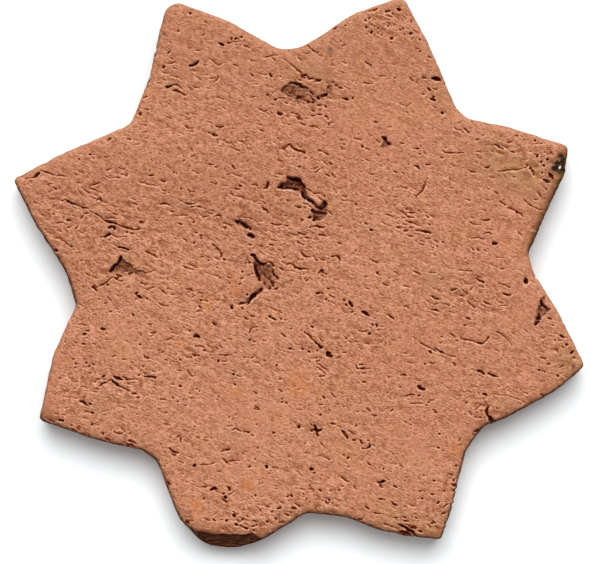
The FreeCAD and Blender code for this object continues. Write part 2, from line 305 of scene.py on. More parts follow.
RIGHT_POINT_TOP = (
    (1.3, 453, 127, 457, 129, 461, 131), (1.7, 462, 132), (1.7, 463, 127, 466, 130, 469, 134),
    (1.9, 500, 136), (1.4, 482, 136, 485, 134), (1.4, 475, 140, 479, 139),
    (1.8, 494, 144, 498, 146, 503, 148), (1.2, 500, 144, 507, 148), (1.4, 514, 134, 518, 136),
    (1.3, 520, 135, 522, 137), (1.3, 507, 142, 511, 141), (1.9, 535, 140), (1.4, 540, 144, 543, 142),
    (1.5, 545, 142), (1.7, 546, 147), (1.9, 446, 147), (1.5, 441, 150, 447, 152, 455, 153, 463, 152),
    (1.3, 450, 163, 454, 166), (1.9, 445, 177), (1.4, 475, 162, 478, 162),
    (2.0, 469, 170, 472, 171, 475, 172), (1.8, 483, 167, 487, 167, 489, 165),
    (1.4, 497, 171, 505, 170, 510, 169, 516, 170, 522, 168, 527, 166), (1.8, 529, 166, 531, 170, 534, 175),
    (1.4, 510, 151, 515, 153), (1.4, 528, 151, 531, 151), (1.4, 533, 153, 538, 154),
    (1.4, 545, 149, 548, 149), (1.4, 554, 153, 551, 154), (2.8, 546.5, 159.5), (2.4, 541, 162),
    (2.5, 543, 165.5), (2.5, 550, 152), (2.2, 544, 152), (2.2, 536.5, 155.5), (2.0, 541.5, 172),
    (2.4, 550, 174.5, 552, 176), (2.4, 530, 168), (2.0, 525, 163, 527, 165), (2.4, 540, 143.5),
    (2.2, 556, 160), (2.2, 548, 172, 552, 178), (3.0, 543, 180, 548, 182.5), (1.5, 542, 187, 546, 189),
    (1.5, 537, 192, 541, 197), (1.5, 533, 198, 536, 199), (1.4, 523, 199, 529, 204, 536, 208),
    (1.9, 500, 200, 505, 205), (1.6, 507, 207, 514, 210, 519, 213, 523, 216), (1.4, 493, 191, 498, 193),
    (1.4, 512, 177, 515, 177), (1.4, 486, 187, 489, 190), (1.8, 483, 220, 489, 219),
    (1.4, 470, 222, 474, 224, 480, 225), (1.6, 482, 234, 486, 232, 489, 232, 491, 234),
    (1.4, 471, 238, 477, 237, 484, 239), (3.0, 491, 242, 496, 243), (1.5, 470, 247, 473, 250),
    (1.8, 475, 248, 478, 251), (1.5, 483, 249, 486, 252), (1.4, 486, 248, 488, 250), (1.6, 465, 258),
    (1.3, 463, 199, 470, 200), (1.6, 469, 206), (1.4, 490, 264, 497, 267), (1.4, 499, 268, 504, 268),
    (1.3, 495, 257, 502, 257), (1.2, 516, 230, 522, 237), (1.5, 458, 270, 472, 271),
    (2.0, 475, 278, 479, 280, 484, 282), (5.6, 525, 280), (1.4, 497, 283, 505, 285, 509, 287),
    (2.2, 442, 242),
)
LEFT_POINT = (
    (2.5, 34, 177, 39, 172), (1.3, 24, 178, 33, 177), (1.8, 40, 169.5, 44, 171, 49, 173, 56, 175),
    (1.4, 56, 175, 67, 176), (1.5, 48, 184, 52, 184), (1.5, 53, 187, 57, 189), (1.3, 49, 191, 51, 192),
    (1.8, 78, 158, 79, 160), (1.3, 76, 155, 78, 156), (1.8, 88, 154, 91, 154), (1.4, 104, 157, 107, 157),
    (1.4, 105, 170, 110, 169), (1.7, 119, 168), (1.2, 104, 174, 110, 178, 120, 177),
    (1.3, 121, 173, 128, 175), (1.1, 89, 186, 101, 181), (1.4, 89, 187, 97, 190), (1.4, 83, 189, 91, 193),
    (1.3, 93, 193, 97, 195), (1.2, 77, 188, 83, 196), (2.0, 96, 200, 100, 198, 102, 202),
    (1.4, 104, 201, 107, 203), (1.4, 110, 204, 118, 207),
    (2.1, 61, 200, 66, 198, 70, 202, 77, 204, 83, 207, 89, 208), (1.8, 89, 210, 98, 214, 104, 219),
    (2.4, 104, 219, 110, 222, 117, 224), (2.0, 117, 224, 124, 227, 133, 229, 139, 228),
    (1.4, 106, 218, 112, 217, 117, 219), (1.7, 53, 206), (1.7, 57, 208), (1.7, 53, 213),
    (1.9, 66, 219, 71, 220), (1.5, 56, 222, 63, 222), (1.4, 72, 215, 77, 216), (1.4, 80, 218, 84, 215),
    (1.3, 83, 213, 90, 213), (1.4, 67, 227, 72, 226), (1.4, 75, 229, 78, 226),
    (3.0, 108, 228, 113, 226, 115, 229), (2.7, 104, 236, 107, 235, 110, 233), (1.2, 100, 237, 104, 236),
    (1.3, 110, 233, 116, 236, 126, 236), (2.0, 139, 221, 143, 222), (1.8, 127, 232), (1.7, 46, 229),
    (1.4, 47, 232, 50, 234), (1.2, 51, 237, 60, 238, 66, 242, 71, 246), (2.1, 72, 246),
    (2.8, 54.5, 249.5, 57.5, 250.5), (1.4, 80, 259, 83, 260), (2.6, 118, 246, 122, 247, 128, 249.5),
    (1.4, 120, 250, 126, 252), (1.8, 138, 248), (1.4, 145, 251, 149, 252), (1.5, 131, 181, 133, 183),
    (1.4, 139, 181, 146, 184), (1.4, 130, 197, 137, 200), (1.4, 130, 202, 139, 205),
    (1.3, 137, 208, 141, 212),
)
LEFT_HOLLOW_EDGES = (
    (3.6, 110, 271, 113.5, 267, 117, 263.5), (3.0, 117.5, 262, 120, 258, 121.5, 256),
    (2.2, 117, 267, 118, 270), (1.8, 120, 267, 123, 269.5, 127, 271),
    (1.6, 123, 260, 128, 263, 133, 267, 137, 270), (1.8, 129, 273.5, 133, 271.5),
    (1.6, 137, 270, 143, 270.5, 146, 273), (1.3, 146, 272.5, 155, 270), (2.0, 114, 277, 117, 279, 119, 277),
    (1.8, 116, 274.5, 122, 276.5), (1.6, 118, 280.5, 123, 281),
    (1.5, 99, 286, 103, 283, 109, 278.5, 114, 277), (2.3, 107, 284), (2.4, 92, 286, 97, 291),
    (1.8, 93, 285, 97, 287), (1.8, 86, 273, 91, 276), (1.6, 92, 275, 97, 279), (1.5, 140, 282, 146, 285),
    (1.9, 98, 299), (1.6, 102, 303, 106, 302), (2.6, 135, 293.5, 137.5, 292), (2.4, 136, 294, 138, 297),
    (3.2, 138, 295, 141, 298), (1.8, 145, 297, 147, 299), (1.6, 135, 299), (1.8, 110, 311),
    (2.2, 131, 313, 134, 315), (1.2, 116, 307, 119, 309), (1.2, 118, 311, 120, 312),
    (1.3, 121, 322, 123, 323), (1.9, 79, 304, 81, 304), (1.4, 78, 308), (1.4, 79, 324, 83, 324, 86, 325),
    (1.5, 85, 331, 88, 329, 90, 330), (2.3, 82, 334, 85, 334), (1.6, 86, 337), (3.1, 101, 328, 105, 328),
    (1.6, 106, 333), (1.7, 69, 332), (1.4, 65, 341), (2.1, 81, 344, 85, 344), (1.2, 92, 343, 96, 344),
    (1.3, 75, 342, 77, 342), (2.5, 140, 344), (1.7, 142, 354, 145, 357, 149, 358),
    (1.5, 111, 356, 115, 355), (1.3, 122, 358, 126, 359), (1.1, 123, 339, 129, 342),
    (1.4, 72, 358, 75, 358), (2.0, 76, 363), (1.8, 76, 367), (2.2, 86, 362), (2.2, 88, 366, 90, 365),
    (1.3, 91, 362, 94, 365), (1.4, 69, 374), (1.3, 88, 373, 91, 373), (2.2, 142, 366),
    (1.5, 143, 371, 145, 373), (2.0, 138, 375, 140, 374), (2.0, 144, 375, 151, 376, 156, 377),
    (1.5, 58, 378, 61, 377),
)
LOWER_LEFT = (
    (2.6, 102, 376, 104, 375), (1.4, 101, 378, 105, 379), (1.6, 94, 381, 97, 381),
    (2.2, 113, 376, 118, 378, 123, 379.5), (3.1, 112, 380, 115, 382, 117, 384, 119, 386),
    (1.9, 117, 385, 122, 386.5, 128, 390), (2.1, 100, 385.5, 103, 383, 107, 382), (1.3, 107, 380, 111, 379),
    (1.3, 126, 382, 131, 384), (1.6, 122, 376, 127, 378), (1.3, 96, 379, 100, 378),
    (1.3, 125, 379, 131, 379, 134, 378, 138, 379), (1.3, 130, 382, 135, 382), (1.3, 127, 388, 131, 391),
    (2.1, 131, 392, 136, 394), (2.0, 136, 397, 139, 397), (1.3, 81, 386, 84, 386, 88, 388), (1.6, 74, 388),
    (1.3, 91, 391, 96, 391, 98, 392), (1.3, 55, 394), (1.1, 62, 396, 70, 396, 78, 398),
    (1.2, 103, 395, 106, 397), (2.3, 80, 400, 83, 401, 86, 404, 88, 405), (2.1, 89, 403, 91, 404),
    (1.6, 64, 407, 67, 408), (1.3, 84, 410, 90, 412), (2.1, 91, 411, 93, 412), (1.7, 103, 411, 106, 411),
    (1.4, 73, 411), (2.3, 58, 420, 64, 420), (1.4, 62, 417, 64, 416), (1.5, 71, 425), (2.0, 92, 424),
    (1.8, 101, 432, 103, 434), (2.2, 106, 438, 110, 440), (1.5, 113, 431, 117, 433, 123, 432),
    (1.8, 129, 433), (1.2, 136, 427), (1.6, 127, 440, 132, 441, 136, 443),
    (2.0, 126, 444, 131, 445, 135, 446), (1.4, 118, 428), (1.5, 47, 418, 54, 421), (1.4, 70, 428, 78, 431),
    (1.4, 82, 433, 90, 435), (1.9, 178, 436), (1.3, 181, 438), (1.2, 180, 434, 181, 442),
    (1.9, 169, 448, 173, 451, 178, 452), (1.7, 171, 454, 175, 454), (1.5, 180, 461, 183, 462),
    (2.8, 193, 465, 196, 464), (1.3, 196, 464, 206, 464, 214, 462), (1.6, 221, 458, 224, 459, 228, 461),
    (1.6, 229, 460, 234, 459, 240, 460), (1.7, 220, 450, 226, 449, 230, 449), (1.6, 241, 451, 244, 453),
    (1.3, 229, 452), (1.9, 248, 466, 251, 466), (1.6, 254, 458), (2.9, 266, 466), (1.4, 269, 473),
    (1.4, 276, 477), (3.4, 167, 481, 169, 483), (1.2, 196, 486, 204, 486, 210, 485),
    (2.7, 211, 489, 214, 487, 216, 488), (1.3, 216, 490, 220, 493), (2.3, 227, 486, 229, 488, 229, 490),
    (2.1, 222, 493, 224, 493), (1.6, 228, 494, 233, 492), (2.8, 225, 497),
    (2.0, 221, 498, 224, 500, 227, 502), (1.6, 203, 497, 204, 499), (1.4, 183, 473), (1.5, 213, 514),
    (1.6, 212, 518, 215, 520), (1.5, 231, 511, 233, 511), (2.3, 232, 514, 235, 516), (1.4, 237, 513),
    (1.4, 221, 519), (2.0, 226, 520), (2.1, 186, 521, 189, 523),
)
UPPER_MIDDLE = (
    (1.8, 279, 149, 285, 147, 288, 144, 293, 148, 299, 151, 305, 152), (2.4, 302, 151, 305, 153),
    (1.6, 289, 153), (1.6, 293, 156), (1.4, 191, 157, 195, 155, 198, 158), (1.9, 208, 164, 213, 165),
    (1.3, 214, 167, 218, 167), (1.3, 229, 164, 232, 164), (2.1, 231, 165, 234, 169),
    (1.3, 243, 170, 246, 172), (1.4, 226, 174, 231, 173, 236, 175, 240, 176, 241, 174),
    (2.1, 172, 172, 174, 172), (1.3, 176, 173), (1.3, 183, 161, 185, 161), (1.3, 192, 170, 195, 172),
    (2.0, 148, 175, 153, 175), (1.6, 160, 180, 166, 181), (1.6, 147, 184, 159, 185),
    (1.4, 186, 189, 190, 191), (1.3, 180, 188, 182, 189), (1.6, 204, 186), (1.6, 215, 184),
    (1.9, 239, 184, 241, 186), (1.4, 243, 182, 246, 184), (1.4, 234, 188, 239, 189),
    (1.4, 252, 184, 256, 184, 258, 186), (2.3, 267, 181, 268, 185, 266, 187, 263, 189),
    (1.6, 230, 193, 233, 195), (1.2, 233, 195, 242, 197, 254, 200, 257, 201), (1.3, 257, 203, 261, 204),
    (1.3, 261, 201, 266, 204), (1.6, 261, 206, 266, 210, 269, 213), (1.9, 160, 204, 165, 203, 171, 206),
    (1.6, 183, 203, 190, 204, 196, 202), (1.5, 190, 207, 198, 206, 206, 208), (1.4, 170, 211, 174, 212),
    (1.2, 175, 215, 188, 215), (1.4, 199, 214, 203, 217, 209, 215), (1.4, 208, 212, 213, 213),
    (1.4, 213, 216, 219, 214, 221, 217, 221, 220), (1.4, 222, 222, 228, 224, 232, 225),
    (1.3, 223, 226, 226, 229), (2.0, 178, 223, 182, 224), (1.4, 192, 222, 195, 221),
    (1.6, 194, 232, 197, 232), (1.4, 199, 235, 203, 236), (1.9, 226, 235),
    (1.5, 182, 238, 185, 239, 187, 242), (2.0, 194, 242), (1.6, 193, 257), (1.6, 202, 256),
    (2.1, 212, 243, 216, 247, 219, 250, 221, 254, 220, 257), (2.0, 222, 258, 224, 260),
    (1.4, 214, 257, 219, 259), (1.7, 208, 260), (2.0, 217, 267), (1.4, 183, 265, 188, 268, 193, 269),
    (1.4, 187, 263, 192, 265, 197, 267), (1.6, 147, 252, 152, 254, 157, 257),
    (1.4, 242, 217, 248, 217, 253, 219, 254, 222), (1.4, 248, 244, 252, 245), (2.1, 249, 262),
    (1.7, 242, 271), (1.4, 245, 274, 250, 274), (1.6, 252, 273), (1.6, 241, 278), (1.6, 239, 284),
    (1.2, 211, 274, 218, 276, 222, 279), (1.4, 268, 244, 274, 245), (1.5, 271, 223, 277, 225, 281, 224),
    (1.3, 284, 225, 288, 226), (1.8, 284, 257), (1.4, 292, 234, 299, 235),
    (1.4, 285, 264, 290, 263, 297, 266), (2.0, 279, 267, 283, 270), (1.7, 292, 281), (1.8, 275, 288),
    (1.7, 269, 287),
)
MIDDLE_HOLLOW_EDGES = (
    (3.0, 251, 255, 254, 254.5), (3.2, 254, 257, 257, 260.5, 260, 262.5),
    (2.6, 260, 263, 264, 263.5, 266, 262), (3.6, 254.5, 264, 255.5, 269, 257, 273, 258.5, 276.5),
    (2.4, 258, 277, 260, 280), (1.6, 266, 265, 270, 267), (2.0, 268, 261.5, 272, 263, 273, 266),
    (2.4, 271.5, 270, 273.5, 274, 276, 276, 278.5, 278.5),
    (2.2, 261, 271, 265, 275, 269, 279, 272, 283, 273, 286), (1.6, 270, 281, 275, 282.5),
    (2.4, 262, 288.5, 258, 291), (4.2, 257, 292.5, 253, 295.5, 250, 299), (3.2, 250, 300, 248, 302.5),
    (2.0, 238, 303.5, 243, 303, 246, 302), (2.3, 230, 305, 232, 307), (2.0, 241, 307.5, 244, 309),
    (1.9, 227, 282, 230, 283), (1.6, 242, 293), (2.5, 246.5, 294.5), (2.4, 268.5, 288.5, 270, 287.5),
    (2.4, 275.5, 288.5, 277, 288), (1.6, 263, 281, 266, 285), (1.4, 262, 267, 266, 271),
)
KEY_HOLLOW_EDGES = (
    (4.0, 288, 178, 293, 178.5, 297, 179.5, 300.5, 179.5), (2.2, 286.5, 181, 285.5, 184),
    (4.4, 281, 184.5, 282, 186), (3.0, 278.5, 187, 280.5, 187),
    (2.8, 282, 188, 286, 187.5, 290, 188, 294, 188, 299, 188.5), (2.8, 300.5, 181.5, 302, 184.5, 304, 187),
    (1.6, 288, 184, 292, 185.5, 297, 185), (2.8, 301.5, 190.5, 303, 194, 304.5, 197.5),
    (2.3, 304.5, 197, 307.5, 199.5, 310.5, 201, 314, 204), (2.0, 314, 204, 317, 207, 318, 208),
    (2.9, 323.5, 200.5, 325, 203.5, 323.5, 206.5), (3.2, 318.5, 208, 322, 208),
    (3.0, 312, 208.5, 313.5, 211.5), (3.8, 314, 212, 318, 212.5, 322, 213, 325.5, 213.5),
    (2.4, 312.5, 220.5, 314.5, 218.5), (1.7, 315, 219.5, 320, 219, 323, 217.5),
    (1.9, 306, 188.5, 310, 190, 313.5, 192.5, 316, 193.5), (1.4, 317, 195, 321, 199, 323, 200),
    (1.8, 326, 209.5, 329, 212, 332, 215), (2.3, 297, 206, 300, 208), (1.6, 303, 206.5, 305, 207),
    (1.8, 308, 205, 312, 207.5), (2.4, 308, 217, 311, 216.5), (1.6, 300, 219.5, 303, 221),
    (1.4, 274, 173.5, 279, 173.5, 283, 174.5), (1.3, 281, 202, 283, 204), (1.4, 285, 200, 289, 201),
    (3.6, 240, 222, 244, 224.5, 248, 227.5), (2.6, 235, 221, 239, 221.5), (1.8, 249, 228, 250.5, 230),
    (3.6, 247.5, 234, 251, 234.5, 253, 237),
)
UPPER_RIGHT = (
    (1.4, 319, 150, 321, 151), (1.6, 323, 152, 329, 155), (1.2, 321, 160, 328, 165),
    (1.9, 328, 162, 332, 164), (2.1, 297, 166, 300, 166), (1.5, 302, 167, 305, 169),
    (1.2, 313, 169, 318, 166), (1.2, 314, 172, 320, 168), (1.5, 325, 174, 330, 176),
    (1.7, 331, 173, 335, 177), (1.7, 324, 196), (1.4, 340, 199, 346, 200), (1.6, 342, 195, 347, 196),
    (1.5, 295, 206, 299, 207), (2.0, 308, 227, 312, 226, 316, 225, 321, 227, 325, 227),
    (1.3, 300, 219, 304, 220), (1.6, 318, 234, 322, 234, 327, 236), (1.6, 298, 232, 304, 235),
    (1.5, 303, 237, 311, 238), (1.4, 297, 241, 304, 244), (1.5, 338, 226, 341, 226),
    (1.4, 337, 242, 342, 244), (2.7, 369, 229, 372, 230), (1.7, 360, 222), (1.8, 364, 223, 368, 224),
    (1.3, 350, 212, 353, 213), (1.3, 353, 214, 357, 216), (1.3, 370, 214, 373, 215),
    (1.3, 380, 221, 385, 224), (1.4, 384, 213, 391, 215), (1.3, 394, 218, 400, 217),
    (1.5, 408, 212, 415, 212), (1.4, 405, 220, 412, 222, 420, 226), (1.5, 415, 229.5, 420, 230),
    (2.1, 420, 230.2, 427, 231.2), (1.5, 427, 231, 431, 232.5), (1.9, 408, 235, 412, 237),
    (1.4, 423, 237, 430, 238), (1.4, 433, 240, 438, 242), (1.9, 425, 214.5, 428, 217),
    (1.4, 427, 223, 430, 225), (1.4, 430, 250, 433, 249), (1.4, 434, 245, 437, 247),
    (1.6, 300, 252, 304, 255, 311, 257), (1.8, 314, 258, 317, 260), (1.9, 322, 258, 325, 260),
    (1.6, 328, 258), (1.5, 330, 256, 336, 255, 339, 257, 341, 261),
    (2.2, 294, 266, 300, 269, 304, 268, 309, 269), (1.8, 318, 273, 321, 270, 323, 272, 326, 274),
    (1.6, 303, 274), (1.6, 304, 279), (2.0, 304, 281, 307, 280), (2.3, 327, 288, 329, 289),
    (1.3, 337, 287, 340, 289), (1.5, 352, 274), (1.5, 348, 285), (1.5, 365, 287, 369, 288), (1.5, 347, 267),
    (1.5, 356, 250), (1.6, 368, 258, 373, 261, 378, 263), (1.4, 382, 262, 385, 263), (2.3, 376, 272),
    (1.4, 394, 271, 400, 275), (2.0, 413, 271, 417, 273, 420, 275), (1.6, 429, 272, 435, 273),
    (1.6, 403, 286, 409, 287), (1.3, 381, 283, 388, 286), (1.2, 381, 190, 386, 193),
    (1.1, 395, 187, 399, 187), (1.2, 349, 179, 352, 182), (1.1, 370, 174, 376, 173),
    (1.2, 362, 157, 370, 161), (1.2, 354, 157, 357, 155), (1.9, 408, 163),
    (2.0, 413, 165, 416, 166, 419, 169), (1.7, 419, 154), (1.4, 425, 163, 430, 165),
    (1.4, 401, 172, 405, 174), (1.4, 393, 170, 396, 172),
    (1.6, 428, 178, 425, 183, 422, 189, 418, 194, 415, 197), (1.3, 440, 157, 443, 158),
    (1.4, 407, 216, 414, 217), (1.5, 400, 210.5, 403, 213, 407, 215.5), (1.4, 404, 207.5, 407, 209.5),
    (1.2, 401, 217, 404, 218), (1.3, 402, 223, 406, 225), (1.3, 408, 227, 413, 227),
    (1.5, 402, 230, 408, 230), (1.3, 395, 226, 400, 228), (1.3, 387, 224, 391, 226),
    (1.2, 427, 241, 431, 244), (1.4, 429, 246, 433, 248), (1.2, 413, 239, 417, 241),
    (1.2, 396, 222, 400, 224), (1.2, 417, 210, 420, 211), (1.2, 389, 211, 392, 212), (1.2, 394, 200),
    (1.2, 401, 204, 405, 206),
)
LEFT_MIDDLE = (
    (1.2, 148, 288, 152, 287, 155, 286), (1.4, 160, 289, 164, 292, 167, 294), (1.4, 166, 288, 169, 288),
    (1.2, 170, 294, 175, 294), (1.6, 185, 288, 190, 289, 195, 291), (1.2, 197, 292, 203, 293),
    (1.3, 190, 297, 195, 295), (1.4, 158, 302, 161, 304, 166, 306), (1.4, 200, 299, 202, 300),
    (1.3, 203, 300, 208, 301), (1.6, 202, 296), (1.5, 216, 299, 219, 300),
    (1.7, 198, 305, 201, 307, 203, 309), (1.3, 195, 311, 199, 309, 203, 311), (2.1, 244, 317, 248, 319),
    (2.0, 268, 316, 271, 317), (2.1, 272, 317, 276, 319), (1.6, 280, 317, 282, 319), (1.6, 285, 320),
    (1.6, 270, 306, 273, 308, 276, 310), (1.5, 180, 316, 184, 316, 187, 318), (1.3, 190, 316, 195, 317),
    (2.0, 212, 321, 216, 324), (1.5, 219, 324), (1.4, 248, 333, 250, 329, 252, 327, 258, 326),
    (1.5, 264, 328, 267, 328), (1.4, 257, 322), (1.6, 147, 324, 151, 324), (2.3, 190, 330),
    (3.2, 194, 336, 196, 335, 199, 337), (1.5, 150, 332, 155, 332), (1.2, 150, 336, 154, 334),
    (1.4, 170, 332, 175, 332, 178, 334), (1.2, 166, 340, 169, 338, 172, 337), (1.4, 228, 337, 233, 339),
    (2.3, 248, 339, 250, 340), (1.3, 252, 341, 255, 342), (1.4, 262, 340, 266, 340),
    (1.5, 280, 333, 283, 335, 285, 337), (1.7, 291, 328), (1.9, 289, 348, 292, 348),
    (1.6, 219, 345, 222, 347), (1.4, 195, 345, 203, 347), (1.8, 202, 350, 206, 350),
    (1.2, 206, 350, 212, 352), (1.9, 191, 353, 194, 355, 199, 355), (1.5, 220, 354, 226, 355, 229, 354),
    (1.3, 233, 352, 238, 353), (1.4, 242, 356, 246, 356), (1.6, 251, 358, 254, 356), (1.7, 162, 351),
    (1.4, 178, 358, 181, 360), (1.5, 165, 358, 168, 359), (1.3, 169, 361, 170, 363), (2.4, 218, 360),
    (1.3, 221, 361, 227, 361), (1.3, 253, 361, 258, 362, 262, 366), (2.5, 276, 365),
    (1.3, 262, 361, 265, 360), (1.7, 159, 370), (1.4, 186, 369, 189, 372, 193, 376),
    (1.2, 177, 369, 181, 370), (1.3, 232, 370, 237, 371), (2.5, 232, 374, 234, 373),
    (1.2, 236, 374, 241, 376), (2.1, 233, 383, 236, 385), (2.3, 178, 385, 181, 386),
    (1.2, 170, 383, 175, 384), (1.4, 180, 379), (1.8, 280, 379), (1.7, 277, 389, 279, 389, 282, 391),
    (1.3, 287, 370, 290, 370), (1.3, 281, 370, 284, 370), (1.5, 252, 391, 257, 393),
    (1.9, 255, 405, 258, 407, 259, 409), (1.6, 282, 398), (1.6, 282, 401), (1.8, 286, 402), (1.7, 200, 391),
    (1.5, 211, 391, 216, 393), (1.3, 217, 394, 219, 397), (1.4, 188, 392, 191, 394),
    (1.3, 188, 397, 192, 398), (1.8, 161, 399, 165, 399), (1.8, 173, 397), (1.5, 178, 401),
    (1.5, 184, 405, 187, 405), (1.3, 204, 410, 207, 411), (1.6, 228, 417), (1.4, 235, 414), (1.8, 257, 424),
    (1.4, 281, 416), (1.3, 198, 424), (2.3, 272, 432, 275, 432), (1.4, 274, 435), (1.9, 258, 447),
    (1.9, 244, 430, 247, 431, 250, 432), (1.4, 251, 434, 254, 435),
    (1.6, 232, 430, 236, 428, 240, 430, 242, 431),
)
RIGHT_MIDDLE = (
    (1.9, 297, 293), (2.3, 316, 293, 321, 292, 324, 293), (1.2, 328, 294, 334, 297), (1.9, 325, 299),
    (1.5, 328, 301), (1.6, 334, 303), (1.6, 343, 299, 345, 301), (1.9, 345, 304, 347, 305), (1.5, 318, 306),
    (2.7, 349, 301, 350, 303, 352, 306), (1.9, 352, 311), (1.5, 354, 314),
    (3.2, 362, 311, 366, 313, 368, 315), (1.3, 370, 315, 376, 318), (1.6, 377, 312),
    (1.7, 387, 314, 390, 316, 393, 319), (1.5, 370, 323, 373, 325), (2.1, 375, 323, 377, 326),
    (1.7, 378, 330), (1.3, 380, 326, 384, 326), (1.5, 358, 330, 363, 331, 368, 330),
    (2.0, 367, 334, 371, 333), (1.4, 378, 335, 381, 337), (1.3, 343, 335, 347, 338),
    (1.4, 354, 341, 359, 342), (1.4, 363, 343, 370, 344), (1.3, 383, 283, 388, 285),
    (1.7, 404, 286, 409, 287), (1.5, 407, 292), (1.2, 431, 287, 436, 289, 441, 290),
    (1.9, 431, 295, 435, 298, 439, 299), (1.4, 432, 303, 438, 303), (1.7, 430, 309, 434, 309, 438, 311),
    (1.3, 403, 306, 406, 305, 409, 308), (1.8, 303, 330, 308, 334, 313, 340),
    (2.2, 313, 340, 318, 344, 321, 347), (2.6, 321, 347), (4.4, 327, 352, 329, 354, 331, 356),
    (2.4, 300, 348, 303, 349), (2.4, 307, 351, 310, 352), (1.9, 319, 356, 321, 358),
    (1.6, 315, 361, 319, 360), (1.8, 317, 350), (1.3, 313, 358, 317, 358), (2.0, 310, 326, 314, 327),
    (1.4, 319, 337, 323, 341), (1.2, 335, 358, 340, 356), (1.2, 316, 362, 328, 371),
    (1.2, 316, 366, 326, 374), (1.4, 318, 376, 325, 375), (1.4, 354, 364, 357, 367, 360, 368),
    (2.1, 360, 368, 364, 368), (1.2, 364, 368, 370, 368), (1.6, 359, 364, 363, 364),
    (1.4, 362, 373, 365, 373), (2.3, 363, 382, 366, 381), (1.7, 400, 374, 404, 374, 406, 375),
    (1.4, 387, 375, 389, 378), (1.8, 400, 386), (1.7, 387, 392), (1.4, 380, 392), (1.5, 403, 352, 407, 353),
    (1.1, 393, 352), (1.7, 418, 341, 424, 345, 430, 348, 434, 350), (2.3, 428, 350, 430, 352),
    (1.9, 433, 346, 438, 350, 443, 352), (1.4, 443, 352, 450, 355, 456, 356), (2.0, 440, 342),
    (1.5, 441, 336), (2.1, 424, 364, 426, 363), (1.3, 428, 362, 434, 363),
    (2.7, 417, 385, 420, 388, 424, 389), (1.9, 406, 395, 411, 394, 414, 395), (1.8, 418, 396, 420, 395),
    (1.3, 410, 403, 416, 402, 423, 404), (2.1, 428, 402), (1.7, 425, 406, 427, 404), (1.5, 424, 408),
    (1.3, 432, 409, 436, 412), (1.8, 390, 412, 393, 409), (1.8, 372, 415, 376, 415), (1.4, 373, 417),
    (1.6, 365, 408, 370, 411), (1.3, 350, 410), (1.3, 357, 411), (1.3, 342, 406, 345, 406),
    (1.8, 322, 395, 325, 398), (1.4, 329, 392, 335, 398), (1.4, 340, 392, 343, 393),
    (1.3, 318, 404, 323, 404), (1.8, 298, 389), (1.9, 320, 414), (2.0, 330, 423, 335, 424), (1.7, 356, 425),
    (1.4, 358, 420), (1.5, 410, 424), (1.6, 410, 428),
)
RIGHT_SIDE = (
    (1.9, 450, 290, 456, 288), (1.7, 462, 289, 464, 291, 467, 294), (1.4, 459, 295, 464, 296),
    (1.4, 470, 290, 473, 286), (1.5, 478, 285, 484, 287), (1.6, 477, 298), (1.5, 444, 302, 449, 306),
    (1.6, 466, 301, 470, 304, 474, 307), (1.4, 480, 304, 484, 306), (1.4, 482, 300, 488, 303, 491, 305),
    (1.2, 495, 299, 503, 303), (1.2, 500, 305, 508, 305), (2.1, 501, 293, 506, 295, 510, 294),
    (1.6, 515, 292), (1.3, 490, 310, 493, 312), (2.0, 465, 317, 470, 319), (1.7, 463, 325, 466, 324),
    (1.9, 448, 333, 455, 337),
    (1.8, 460, 336, 463, 339, 468, 340, 473, 341, 478, 343, 482, 343, 486, 340, 488, 336), (1.6, 457, 340),
    (1.8, 497, 331, 501, 333, 504, 337, 507, 340), (1.1, 507, 340, 512, 345),
    (3.0, 541.5, 299.5, 541, 303.5, 540, 306), (2.4, 538, 306, 537.5, 308.5), (3.0, 538.5, 312, 539, 315),
    (4.2, 538, 318.5, 540.5, 317), (2.6, 538.5, 321, 536, 323, 534.5, 324.5),
    (2.3, 542, 304.5, 545, 306.5, 548.5, 308.5), (1.9, 545.5, 310.5, 547, 309),
    (1.6, 542, 314.5, 544, 312.5), (2.0, 543.5, 296.5), (1.7, 547, 318, 551, 319),
    (1.4, 551, 324, 554, 325), (2.4, 558.5, 335, 561, 336.5, 564, 338), (2.1, 564, 344, 568, 343.5),
    (1.7, 553, 339, 554, 341), (1.4, 557, 340, 562, 340), (1.5, 564, 343), (1.3, 550, 332),
    (3.0, 570, 353.5, 571.5, 352, 573, 350), (1.6, 573, 356.5, 577, 358), (1.6, 546, 364, 549, 363),
    (2.2, 538, 368.5, 541, 370, 544, 371), (1.9, 559, 367, 562, 364.5), (2.2, 557, 375),
    (1.4, 559, 373, 562, 372.5), (2.0, 540, 357.5, 545, 358), (1.3, 571, 366.5, 572.5, 364.5, 575, 365),
    (1.3, 553, 349, 558, 349), (1.3, 560, 346, 563, 347), (2.6, 477.5, 370, 480, 371, 483, 373.5),
    (1.6, 482, 377), (1.9, 487, 373, 492, 374, 498, 376), (1.5, 497, 379), (1.4, 496, 381), (1.8, 498, 386),
    (1.5, 451, 362, 455, 366), (2.7, 482, 393, 485, 394), (1.3, 490, 393, 500, 394, 510, 396, 520, 399),
    (1.6, 524, 392, 527, 393), (1.4, 492, 395, 495, 399), (1.6, 465, 402),
    (1.4, 474, 409, 480, 404, 484, 405), (2.2, 488, 405, 486, 409, 486, 412, 488, 416),
    (3.8, 488, 416, 490, 419, 492, 421), (1.5, 483, 406), (1.2, 474, 416, 480, 417), (1.5, 481, 417),
    (1.7, 540, 393, 543, 396), (2.6, 474, 431, 476.5, 429.5), (1.5, 471, 433, 474, 435),
    (1.5, 457, 441, 461, 437), (1.7, 453, 461), (1.7, 456, 465), (1.6, 447, 473, 453, 475), (2.2, 453, 480),
    (2.2, 454, 485), (2.5, 454, 490), (1.9, 444, 491), (1.5, 451, 498, 455, 500), (1.7, 442, 507, 447, 503),
    (1.8, 441, 513, 446, 512), (2.0, 451, 504),
)
